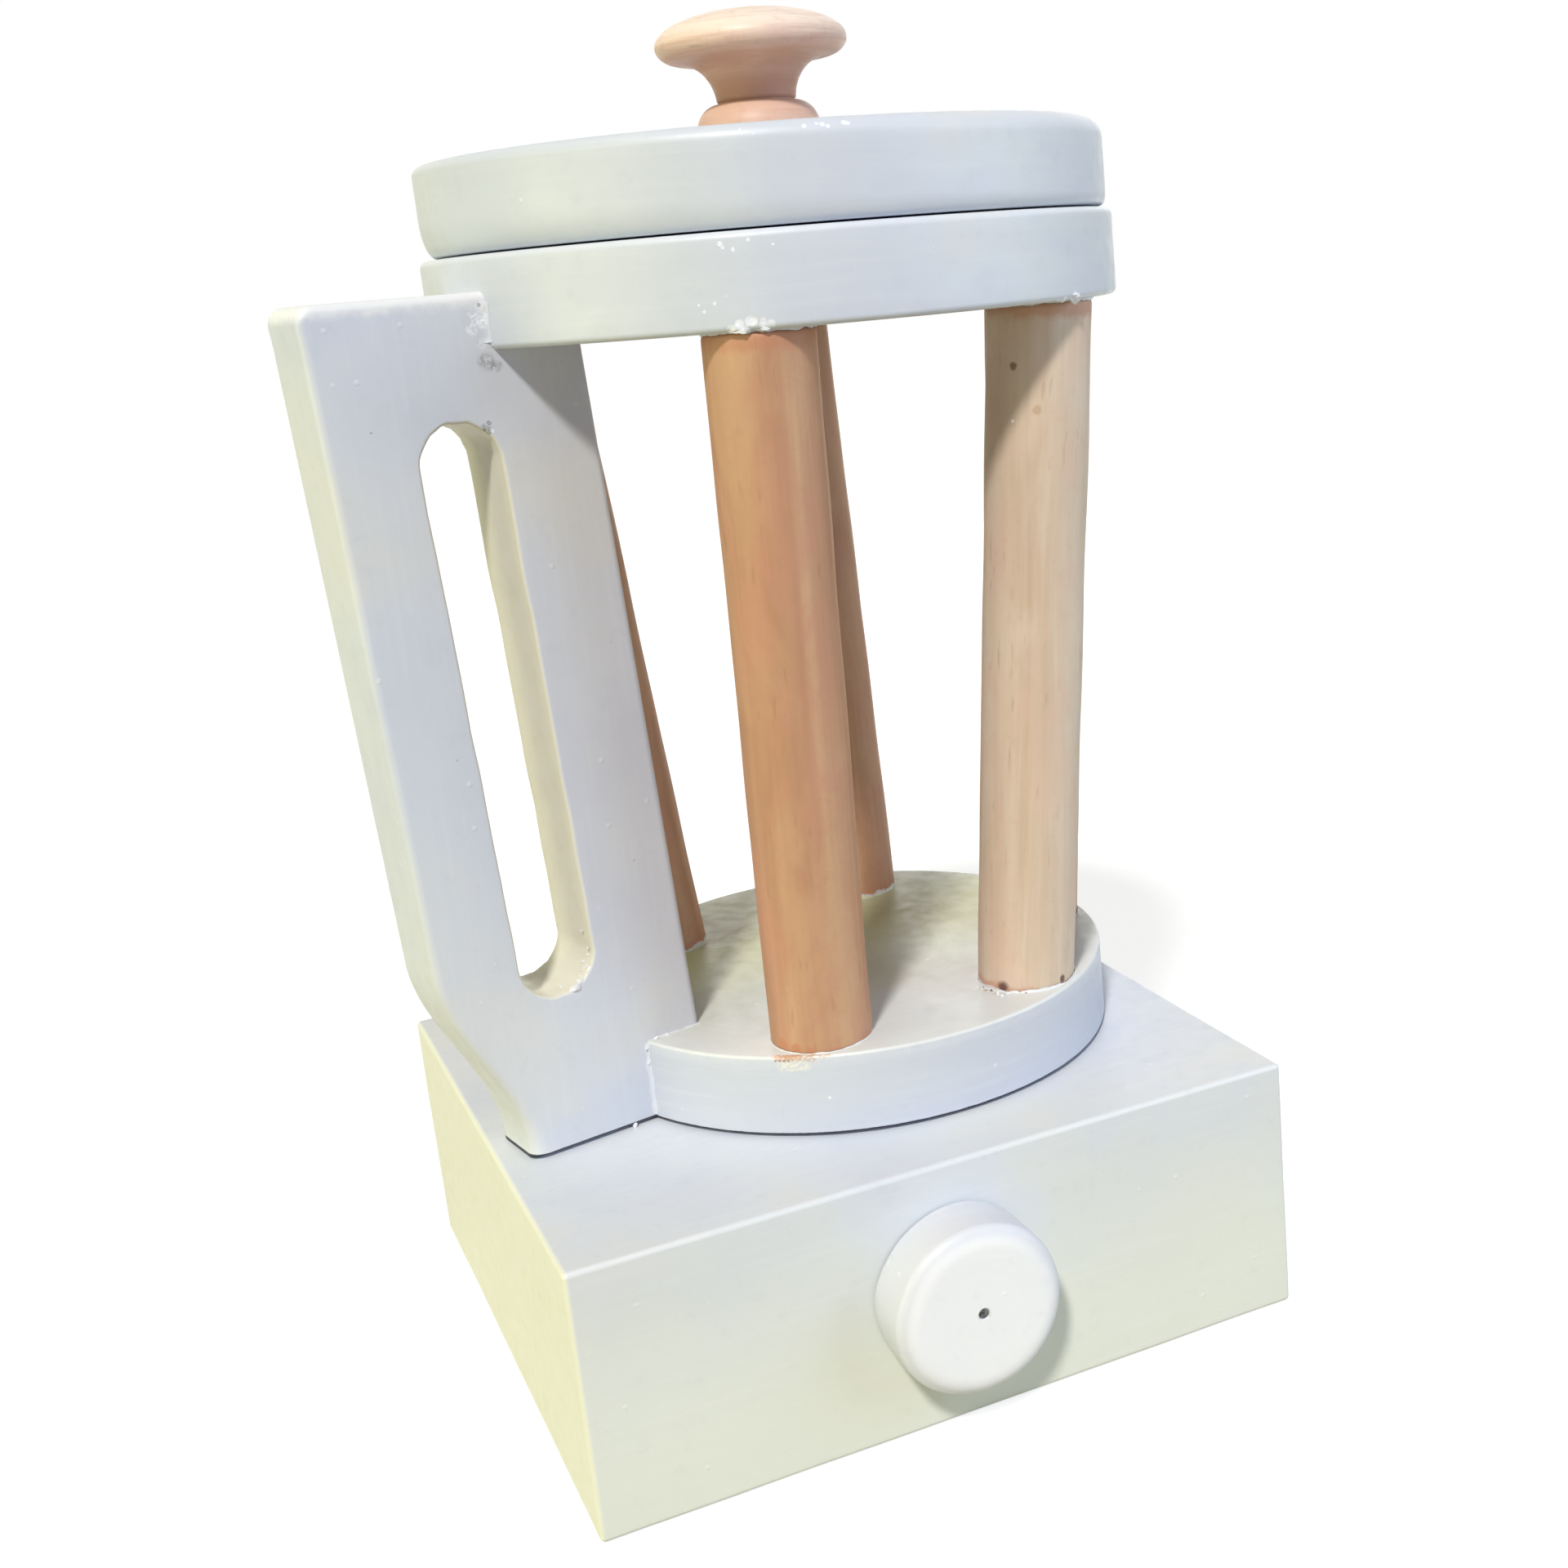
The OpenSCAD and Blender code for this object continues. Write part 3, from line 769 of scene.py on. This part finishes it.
def turned_knob():
    """Bead, crease, neck, cove and domed head, as one turned piece."""
    bead_r, bead_h = 13.2 * MM, 8.9 * MM
    bead_wide, bead_foot = 3.5 * MM, 0.8 * MM  # height where the bead is widest; rounded foot
    neck_r, crease = 8.5 * MM, 0.35 * MM
    dome_h, lip_w, lip_h = 6.8 * MM, 4.4 * MM, 3.4 * MM
    rim_z = KNOB_H - dome_h
    cove_h = rim_z - lip_h - bead_h
    profile = ([(0, 0)] + radial(0, bead_r, 0.0, 4 * MM)
               + [(bead_r - bead_foot, 0.0)]
               + arc((neck_r, bead_wide), bead_r - neck_r, bead_h - bead_wide, -20, 84, 14)
               + [(neck_r - crease, bead_h - 0.1 * MM), (neck_r - crease, bead_h + 0.25 * MM)]
               + arc((KNOB_R - lip_w, bead_h), neck_r - KNOB_R + lip_w, cove_h, 4, 84, 18)
               + arc((KNOB_R - lip_w, rim_z), lip_w, lip_h, -76, 0, 10)
               + arc((0, rim_z), KNOB_R, dome_h, 5, 84, 24)
               + [(0, KNOB_H)])
    return lathe("turned_knob", profile, 128, on_axis(KNOB_LOW), 0.12 * MM, 14 * MM)


# ---------- posts ----------


def stance(node):
    """A post's foot, its top, and the rotation that leans its own Z axis along it."""
    angle = POST_ANGLES[node]
    foot = JUG_AT + on_wall(FOOT_PITCH, angle, FLOOR_T)
    top = JUG_AT + on_wall(TOP_PITCH, angle + RING_TURN, RING_Z)
    return foot, top, (top - foot).to_track_quat("Z", "Y").to_matrix()


def on_post(node, azimuth, height):
    """A point of a post's wall in the post's own frame, by its world azimuth and height."""
    point = stance(node)[2].transposed() @ on_wall(POST_R, azimuth, 0.0)
    point.z += height
    return point


def post(node, uneven):
    """A leaning round post, cut level at both ends. Its own Z axis runs along the timber."""
    foot, top, lean = stance(node)
    place = Matrix.Translation(foot) @ lean.to_4x4()
    segments = 72
    length = top.z - foot.z
    foot_ease, top_ease = 0.4 * MM, 1.5 * MM
    levels = spread(0.0, length, 2.5 * MM)
    levels += [share * foot_ease for share in (0.2, 0.5, 1.0)]
    levels += [length - share * top_ease for share in (0.1, 0.25, 0.45, 0.7, 1.0)]
    levels.sort()
    verts = []
    for level in levels:
        rounded = 0.0
        for ease, away in ((foot_ease, level), (top_ease, length - level)):
            if away < ease:
                rounded = ease * 0.6 * (1 - sqrt(1 - (1 - away / ease) ** 2))
        for k in range(segments):
            across = on_wall(1.0, 360 * k / segments, 0.0)
            worn = wobble(Vector((across.x * 9 * MM, across.y * 9 * MM, level + uneven)),
                          24 * MM, 0.30 * MM) - 0.12 * MM
            across *= POST_R + worn - rounded
            rise = (level - (lean @ across).z) / lean[2][2]
            verts.append(across + Vector((0, 0, rise)))
    return make_object(node + "_dowel", verts, skin(len(levels), segments, False), place)


# ---------- handle ----------

SIDE_ROUND = 1.7 * MM
SLOT_ROUND = 0.8 * MM
FOOT_WORN = 1.9  # the foot's edge is rounded this many times as much as the others
LEAN = (BACK_TOP - BACK_LOW) / (HANDLE_TOP - CURVE_TOP)  # how far it leans out, per height
LAP = 0.35 * MM  # how far the board runs into the ring and the disc that it is fixed to


def handle_back(z):
    return BACK_LOW + (z - CURVE_TOP) * LEAN


def handle_inner(z):
    foot, top = FLOOR_R - TUCK_FOOT, RING_R - TUCK_TOP
    return foot + (top - foot) * z / HANDLE_TOP


def handle_outline():
    """The board's outline as (x, z, inset direction, wall radius).

    The inset direction is where a point moves as the edge rounds over. A wall radius marks
    the points that lie against the disc or the ring, whose x follows that round wall.
    """
    points = []

    def add(x, z, inset=(0, 0), wall=None):
        points.append((x, z, inset, wall))

    floor_wall, ring_wall = FLOOR_R - LAP, RING_R - LAP
    for x in spread(floor_wall, BACK_FOOT, 3 * MM)[1:-1]:
        add(x, 0.0, (0, 0.5))
    add(BACK_FOOT, 0.0, (-FOOT_WORN, 0.5))
    for z in spread(CURVE_FOOT, CURVE_TOP, 1.4 * MM):
        share = (z - CURVE_FOOT) / (CURVE_TOP - CURVE_FOOT)
        run = BACK_LOW - BACK_FOOT
        slope = run * pi * sin(pi * share) / 2 / (CURVE_TOP - CURVE_FOOT)
        size = hypot(1, slope)
        worn = mix(FOOT_WORN, 1.0, min(1.0, share / 0.6)) / size
        add(BACK_FOOT + run * (1 - cos(pi * share)) / 2, z, (-worn, worn * slope))
    corner = 3.4 * MM
    for z in spread(CURVE_TOP, HANDLE_TOP - corner, 4 * MM)[1:-1]:
        add(handle_back(z), z, (-1, 0))
    for x, z in arc((BACK_TOP - corner, HANDLE_TOP - corner), corner, corner, 0, 90, 8):
        add(x, z, ((BACK_TOP - corner - x) / corner, (HANDLE_TOP - corner - z) / corner))
    for x in spread(BACK_TOP - corner, ring_wall, 3 * MM)[1:-1]:
        add(x, HANDLE_TOP, (0, -1))
    add(ring_wall, HANDLE_TOP, (0, -1), ring_wall)
    under_ring = RING_Z + LAP
    for z in spread(HANDLE_TOP, under_ring, 2.5 * MM)[1:-1]:
        add(ring_wall, z, (0, 0), ring_wall)
    add(ring_wall, under_ring, (0, 0), ring_wall)
    inner_top = handle_inner(under_ring)
    for x in spread(ring_wall, inner_top, 3 * MM)[1:-1]:
        add(x, under_ring)
    over_floor = FLOOR_T - LAP
    for z in spread(under_ring, over_floor, 4 * MM):
        add(handle_inner(z), z, (1, 0))
    for x in spread(handle_inner(over_floor), floor_wall, 3 * MM)[1:-1]:
        add(x, over_floor)
    for z in spread(over_floor, 0.0, 2.5 * MM)[:-1]:
        add(floor_wall, z, (0, 0), floor_wall)
    add(floor_wall, 0.0, (0, 0.5), floor_wall)
    return points


def slot_end(z):
    """The middle of one of the slot's round ends, as (x, z)."""
    return Vector((handle_back(z) - GRIP_W - SLOT_R, z))


def slot_outline():
    """The finger slot's outline, in the same form: the edge rounds over away from the slot."""
    low, high = slot_end(SLOT_LOW + SLOT_R), slot_end(HANDLE_TOP - SLOT_CAP - SLOT_R)
    way = (high - low).normalized()
    tilt = atan2(way.x, way.y)
    points = []

    def add(at, turn):
        out = Vector((cos(turn), sin(turn)))
        rough = wobble(Vector((at.x, at.y, turn)), 11 * MM, 0.35 * MM)
        spot = at + out * (SLOT_R + rough)
        points.append((spot.x, spot.y, (out.x, out.y), None))

    for here, there, start, side in ((low, high, pi - tilt, -tilt), (high, low, -tilt, pi - tilt)):
        for share in spread(0, 1, 1 / 20):
            add(here, start + pi * share)
        for share in spread(0, 1, 1 / 26)[1:-1]:
            add(here.lerp(there, share), side)
    return points


def board_levels(radius, steps=6):
    """(inset, depth y) from the front face round its edge, down the side and to the back."""
    front = [(radius * (1 - cos(a)), HANDLE_FACE - radius * (1 - sin(a)))
             for a in (pi / 2 * (1 - k / steps) for k in range(steps + 1))]
    back = [(inset, HANDLE_FACE + HANDLE_BACK - y) for inset, y in reversed(front)]
    side = [(0.0, y) for y in spread(front[-1][1], back[0][1], 2.4 * MM)[1:-1]]
    return front + side + back


def beside_wall(radius, y, low, high):
    """Stations of the corner between a round wall and the board's face at y."""
    x = sqrt(radius ** 2 - y * y)
    round_way = Vector((-y, x, 0)) * copysign(1 / radius, y)
    return [(Vector((x, y, z)), Vector((1, 0, 0)), round_way)
            for z in spread(low, high, PATH_STEP)]


def handle_runs():
    """The paint in the corners of the board with the ring and the disc, and its crumbs."""
    runs = []
    for y in (HANDLE_FACE, HANDLE_BACK):
        at_disc = sqrt(FLOOR_R ** 2 - y * y)
        out = Vector((0, copysign(1, y), 0))
        top = [(Vector((x, y, FLOOR_T)), Vector((0, 0, 1)), out)
               for x in spread(handle_inner(FLOOR_T), at_disc - 0.4 * MM, PATH_STEP)]
        at_ring = beside_wall(RING_R, y, RING_Z + 1.4 * MM, HANDLE_TOP - 2.2 * MM)
        at_rim = beside_wall(FLOOR_R, y, 1.0 * MM, FLOOR_T - 0.5 * MM)
        runs += [fillet(at_ring, 1.8 * MM, 4.6 * MM, 0.3, 0.1),
                 fillet(at_rim, 0.7 * MM, 1.7 * MM, 0.6, 0.2),
                 fillet(top, 0.1 * MM, 0.7 * MM)]
    front_rim = sqrt(FLOOR_R ** 2 - HANDLE_FACE ** 2)
    crumbs = [(Vector((front_rim, HANDLE_FACE, height)) + Vector(shift) * MM, size)
              for height, shift, size in (
                  (0, (5, -0.2, 0.2), 1.1), (FLOOR_T, (-2, 0.3, 0), 1.0),
                  (FLOOR_T, (-5, 0.2, 0), 0.8), (FLOOR_T, (0.3, 0.3, -1.6), 0.9),
                  (FLOOR_T, (0.2, 0.3, -5), 0.8))]
    low = slot_end(SLOT_LOW + SLOT_R)

    def by_slot(angle, out, depth):
        """A point just outside the slot's round lower end. angle is in degrees."""
        place = on_wall(SLOT_R + out, angle, 0.0)
        return Vector((low.x + place.x, depth, low.y + place.y))

    draw = Random(11)
    for _ in range(34):
        turn = draw.gauss(222, 18)
        rise = abs(draw.gauss(0, 16)) * MM if turn < 205 else 0.0
        depth = HANDLE_FACE - SLOT_ROUND * 0.6 - abs(draw.gauss(0, 2.4)) * MM
        crumbs.append((by_slot(turn, 0.06 * MM, depth) + Vector((rise * LEAN, 0, rise)),
                       draw.uniform(0.25, 0.6)))
    # a pale run of paint along the slot's lower edge, whose paleness is a painted highlight
    edge = [by_slot(turn, 0.3 * MM, HANDLE_FACE - 0.5 * MM) for turn in range(206, 262, 3)]
    runs.append(bead(edge, 0.8 * MM))
    runs += [crumb(point, size * MM, draw) for point, size in crumbs]
    return runs


def worn_depth(y, worn):
    """The depth of a level where the edge is worn this many times as much as elsewhere."""
    rounded = SIDE_ROUND * 1.01  # with a little to spare for the last digits
    for face, way in ((HANDLE_FACE, -1), (HANDLE_BACK, 1)):
        if (y - face) * way <= rounded:
            return face + (y - face) * worn
    return y


def handle_board():
    bm = bmesh.new()
    ends, painted_bounce = [], []
    for outline, radius in ((handle_outline(), SIDE_ROUND), (slot_outline(), SLOT_ROUND)):
        loops = []
        for inset, y in board_levels(radius):
            loop = []
            for x, z, (dx, dz), wall in outline:
                deep = y
                if wall:
                    x = sqrt(wall * wall - y * y)
                elif dx < -1:
                    deep = worn_depth(y, -dx)
                point = Vector((x + dx * inset, deep, z + dz * inset))
                loop.append(bm.verts.new(point))
                # the slot's wall takes the painted warm bounce light, fading out over the slot's
                # rounded edge
                painted_bounce.append(1 - inset / radius if radius == SLOT_ROUND else 0.0)
            loops.append(loop)
        count = len(outline)
        for first, second in pairwise(loops):
            for k in range(count):
                m = (k + 1) % count
                bm.faces.new((first[k], first[m], second[m], second[k]))
        ends.append((loops[0], loops[-1]))
    for rims in zip(*ends):
        edges = [bm.edges.get((loop[k - 1], loop[k])) for loop in rims for k in range(len(loop))]
        bmesh.ops.triangle_fill(bm, edges=edges, use_beauty=True)
    bmesh.ops.recalc_face_normals(bm, faces=bm.faces)
    verts = [v.co.copy() for v in bm.verts]
    bm.verts.index_update()
    faces = [[v.index for v in f.verts] for f in bm.faces]
    bm.free()
    edge = [0.0] * len(verts)
    edge += merge(verts, faces, handle_runs())
    painted_bounce += [0.0] * (len(verts) - len(painted_bounce))
    place = Matrix.Translation(JUG_AT) @ Matrix.Rotation(radians(HANDLE_ANGLE), 4, "Z")
    piece = make_object("handle_board", verts, faces, place)
    give(piece, [(v.co.z, v.co.x, v.co.y) for v in piece.data.vertices], edge, painted_bounce)
    return piece


# ---------- build ----------

# the colour that the base turns to towards its bottom: painted warm bounce light from below
LOW_BOUNCE_CREAM = rgb(223, 227, 218)
# the colour of the base's left face: painted warm light from the left
SIDE_BOUNCE_CREAM = rgb(228, 229, 207)
base_paint = paint("base_paint", zones=[
    ("Z", 60 * MM, 12 * MM, LOW_BOUNCE_CREAM, 6 * MM),
    ("X", BASE_LOW.x + 1.2 * MM, BASE_LOW.x + 0.2 * MM, SIDE_BOUNCE_CREAM, 0.0)])
for node, along in (("base_top", 0), ("base_front", 0), ("base_back", 0),
                    ("base_left", 1), ("base_right", 1)):
    settle(board(node, along), "base", [node], base_paint)

DUSTY = rgb(204, 209, 210), rgb(209, 213, 213), rgb(213, 216, 215)
TIMBER_CHIP, TIMBER_DARK = rgb(196, 158, 130), rgb(122, 82, 62)
chips = sum((run_of(*run) for run in (
    ((-8.2, -6.4), 0.3, 1.1, rgb(232, 196, 178), 0.8),
    ((-7.4, -0.6), -0.2, 1.3, TIMBER_CHIP, 0.74),
    ((-5.6, -3.4), 0.1, 1.1, TIMBER_CHIP, 0.9),
    ((-0.2, 2.6), 0.0, 0.8, TIMBER_CHIP, 0.7),
    ((-8.0, -4.4), -0.9, 0.42, TIMBER_DARK, 0.9),
    ((-7.0, -2.0), -2.0, 1.6, rgb(228, 226, 214), 0.5),
    ((2.0, 2.0), -9.5, 0.5, PAINT_PALE, 0.8))), [])
draw = Random(21)
chips += [(on_wall(FOOT_PITCH, POST_ANGLES["post_right_front"], FLOOR_T)
           + on_wall(POST_R + draw.uniform(0.2, 1.6) * MM, turn, 0.0),
           draw.uniform(0.3, 0.5) * MM, rgb(140, 98, 80), 0.85)
          for turn in (-176, -166, -160, -151, -140, -118, -62, -50)]
disc_paint = paint("disc_paint", DUSTY, zones=[
    # towards the back the disc turns darker and olive: painted shade
    ("Y", -40 * MM, 22 * MM, rgb(191, 193, 158), 6 * MM),
    # below the top rim the disc's wall turns darker and bluer: painted shade
    ("Z", FLOOR_T - 0.3 * MM, FLOOR_T - 0.9 * MM, rgb(197, 202, 213), 0.0)],
    flaws=chips, seam=0.7 * MM)
settle(floor_disc(), "jug", ["jug_floor"], disc_paint)

ring_paint = paint("ring_paint", flaws=[
    (on_wall(RING_R, turn, RING_T - fall * MM), radius * MM, WHITE, 0.9)
    for turn, fall, radius in (
        (-117.4, 2.2, 0.6), (-117.0, 2.9, 0.45), (-115.6, 3.4, 0.5), (-113.4, 1.9, 0.45),
        (-110.0, 3.0, 0.35), (-119.0, 12.5, 0.45), (-120.6, 13.8, 0.4), (-121.3, 12.6, 0.35))]
    + [(on_wall(RING_R, draw.gauss(-114.4, 2.0), draw.uniform(0.5, 1.9) * MM),
        draw.uniform(0.6, 1.3) * MM, WHITE, 0.76) for _ in range(12)])
settle(ring(), "jug", ["jug_ring"], ring_paint)
draw = Random(8)
# white specks along the lid's top front edge: painted highlights
lid_paint = paint("lid_paint", flaws=[
    (on_wall(LID_R - 0.6 * MM, draw.gauss(-104, 5), LID_T - draw.uniform(0.8, 2.4) * MM),
     draw.uniform(0.3, 0.75) * MM, WHITE, 0.9) for _ in range(12)])
settle(lid_disc(), "lid", ["lid"], lid_paint)
settle(plug_disc(), "lid", ["lid_plug"], lid_paint)

RING_EDGE = sqrt(RING_R ** 2 - HANDLE_FACE ** 2)
SLOT_TOP = slot_end(HANDLE_TOP - SLOT_CAP - SLOT_R)
specks = [(Vector((x, HANDLE_FACE + 0.1 * MM, z)), radius * MM, tone, strength)
          for x, z, radius, tone, strength in (
              (RING_EDGE + 1.2 * MM, HANDLE_TOP - 2.5 * MM, 0.5, CHIP_DARK, 0.8),
              (RING_EDGE + 1.3 * MM, HANDLE_TOP - 4.3 * MM, 0.4, CHIP_DARK, 0.4),
              (RING_EDGE + 1.2 * MM, RING_Z - 2.2 * MM, 2.2, CHIP_DARK, 0.42),
              (RING_EDGE - 0.8 * MM, RING_Z - 3.2 * MM, 1.6, CHIP_DARK, 0.35),
              (SLOT_TOP.x - 0.70 * SLOT_R, SLOT_TOP.y + 0.76 * SLOT_R, 1.5, CHIP_DARK, 0.74),
              (SLOT_TOP.x - 0.80 * SLOT_R, SLOT_TOP.y + 0.92 * SLOT_R, 0.6, CHIP_DARK, 0.7),
              (SLOT_TOP.x - 0.86 * SLOT_R, SLOT_TOP.y + 0.74 * SLOT_R, 0.5, WHITE, 0.9))]
draw = Random(3)
for _ in range(12):
    beside = RING_EDGE + draw.uniform(0.4, 4.0) * MM
    height = draw.uniform(RING_Z + 1 * MM, HANDLE_TOP - 3 * MM)
    specks.append((Vector((beside, HANDLE_FACE, height)), draw.uniform(0.6, 1.7) * MM, WHITE, 0.5))
handle_paint = paint("handle_paint", zones=[
    # the board turns pale towards its top edge: built-up paint and a painted highlight on the
    # rounded edge
    ("Z", HANDLE_TOP - 3.6 * MM, HANDLE_TOP - 1.0 * MM, PAINT_PALE, 3 * MM)],
    # a cream tint on the slot's wall: painted warm bounce light in its shade
    flaws=specks, seam=0.8 * MM, painted_bounce=rgb(224, 222, 204))
settle(handle_board(), "jug", ["handle"], handle_paint)

dial_paint = paint(
    "dial_paint", (rgb(234, 236, 244), rgb(237, 239, 245), rgb(240, 241, 245)), BRIGHT,
    # just behind its face the dial turns darker over the rounding: painted shade that tones down
    # its highlight
    zones=[("Z", DIAL_T, DIAL_T - 0.9 * MM, rgb(214, 217, 226), 0.0)],
    # near-black in the nail's hollow: painted shade
    flaws=[(Vector((0, 0, DIAL_T - NAIL_SINK)), 2.2 * MM, rgb(30, 30, 32), 1.0)])
settle(dial_disc(), "dial", ["dial"], dial_paint)

POST_SPAN = (0.0, RING_Z - FLOOR_T)
PINHOLE = rgb(74, 30, 24)
MARKS = {  # (azimuth, height, radius, colour)
    "post_front": [(-160, 1.0, 2.2, SORE), (-140, 0.8, 1.8, SORE), (-124, 0.6, 1.4, SORE)],
    "post_right_front": [
        (-147, 1.2, 1.9, PINHOLE), (-70, 1.2, 1.2, PINHOLE), (-146, 136, 1.1, rgb(120, 86, 64)),
        (-145, 125, 0.5, BRIGHT), (-118, 127, 1.3, rgb(196, 166, 138))],
    "post_left_rear": [(-62, 56, 0.9, rgb(74, 62, 50))],
}
for seed, node in enumerate(POST_ANGLES):
    pale = node == "post_right_front"
    marks = [(on_post(node, azimuth, height * MM), radius * MM, tone)
             for azimuth, height, radius, tone in MARKS.get(node, ())]
    timber = wood(node + "_timber", PALE if pale else TAN, seed + 0.3, spots=marks, ends=POST_SPAN)
    settle(post(node, seed), "jug", [node], timber)

knob_wood = wood("knob_timber", PINK, 2.1, along="XY", gloss=0.08, grain=0.4, zones=[
    # the head turns lighter towards its top: painted highlight
    (KNOB_H - 9.5 * MM, KNOB_H - 3.5 * MM, rgb(255, 244, 230)),
    # darker from the head's underside down the neck: painted shade; the bead below turns lighter
    # again
    (20 * MM, 12 * MM, rgb(168, 118, 92)), (9.4 * MM, 8.2 * MM, rgb(222, 188, 168))])
settle(turned_knob(), "lid", ["knob"], knob_wood)

for material, nodes in (
        (wood("bare_wood", BARE, 3.4), ["jug_peg"]),
        (wood("panel_wood", BARE, 5.2, along="X"), ["base_panel"]),
        (steel("zinc_steel"), ["corner_nails", "top_nails", "floor_screws", "ring_screws",
                               "knob_screw", "plug_screws"]),
        (steel("dull_steel", rgb(58, 58, 60), rgb(128, 128, 126)), ["dial_nail"])):
    for node in nodes:
        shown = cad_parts[node]
        shown.data.materials.clear()
        shown.data.materials.append(material)

# ---------- stage ----------

LIT_FLOOR = (0.33, 0.30, 0.19, 1.0)  # what the floor sends back on to the object
SEEN_FLOOR = (0.42, 0.42, 0.42, 1.0)
GLOW = (0.76, 0.76, 0.76, 1.0)  # added where the camera sees the floor, to keep its shadow pale
BLACK, LIT_SKY, SEEN_SKY = (0, 0, 0, 1), (0.10, 0.085, 0.05, 1.0), (1.0, 1.0, 1.0, 1.0)
REACH, DROP = 6.0, 0.2 * MM  # half the floor's side, and how far it lies under the base


def seen_white(nodes, lit, seen):
    """lit for the light that the object gets, seen for what the camera and gloss see."""
    path = nodes.node("ShaderNodeLightPath").outputs
    either = path["Is Camera Ray"]
    for name in ("Is Glossy Ray", "Is Transmission Ray"):
        either = nodes.maths("MAXIMUM", either, path[name])
    return nodes.blend(either, lit, seen)


corners = [(-REACH, -REACH, 0), (REACH, -REACH, 0), (REACH, REACH, 0), (-REACH, REACH, 0)]
ground_piece = make_object("ground", corners, [(0, 1, 2, 3)], Matrix.Translation((0, 0, -DROP)))
floor = Shader("pale_floor")
ground_piece.data.materials.append(floor.done({
    "Roughness": 0.9, "Specular IOR Level": 0.0, "Emission Strength": 1.0,
    "Base Color": seen_white(floor, LIT_FLOOR, SEEN_FLOOR),
    "Emission Color": seen_white(floor, BLACK, GLOW)}))

world = bpy.data.worlds.new("studio")
bpy.context.scene.world = world
world.use_nodes = True
sky = Nodes(world.node_tree)
sky.put(world.node_tree.nodes["Background"].inputs["Color"], seen_white(sky, LIT_SKY, SEEN_SKY))

LIT_POINT = Vector((0, 0, 0.14))  # the middle of the toy, which all lamps point at


def lamp(name, kind, azimuth, elevation, energy, colour, distance=1.2, **settings):
    way = on_wall(cos(radians(elevation)), azimuth, sin(radians(elevation)))
    made = linked(name, bpy.data.lights.new(name, kind), energy=energy, color=colour, **settings)
    made.location = LIT_POINT + way * distance
    made.rotation_euler = (-way).to_track_quat("-Z", "Y").to_euler()
    return made


lamp("key", "SUN", -124, 47.5, 2.8, (1.0, 0.955, 0.91), angle=radians(6))
lamp("warm_side", "AREA", 184, 8, 4.3, (0.96, 1.0, 0.50), distance=1.0, size=0.7)
lamp("cool_side", "AREA", -38, 18, 6.7, (0.64, 0.80, 1.0), distance=1.2, size=0.9)
lamp("cool_front", "AREA", -105, 12, 1.7, (0.20, 0.32, 1.0), distance=1.3, size=0.9)
low_front = lamp("low_front", "AREA", -95, -31, 0.035, (1.0, 0.98, 0.36), distance=0.24,
                 shape="RECTANGLE", size=0.3, size_y=0.05)
low_front.visible_camera = False
low_front.visible_glossy = False
lamp("back_fill", "AREA", 60, 6, 3.0, (1.0, 0.98, 0.92), distance=1.3, size=1.0)

# ---------- camera ----------

CAMERA_AT = (-0.13765, -0.39950, 0.23342)
CAMERA_TURN = [radians(turn) for turn in (75.5104, 4.5937, -25.9563)]
camera = linked("camera", bpy.data.cameras.new("camera"), sensor_width=36.0, lens=43.805,
                shift_x=-0.12, shift_y=-0.021, clip_start=0.01)
camera.matrix_world = Matrix.LocRotScale(CAMERA_AT, Euler(CAMERA_TURN), None)
bpy.context.scene.camera = camera

bpy.context.scene.view_settings.view_transform = "Standard"
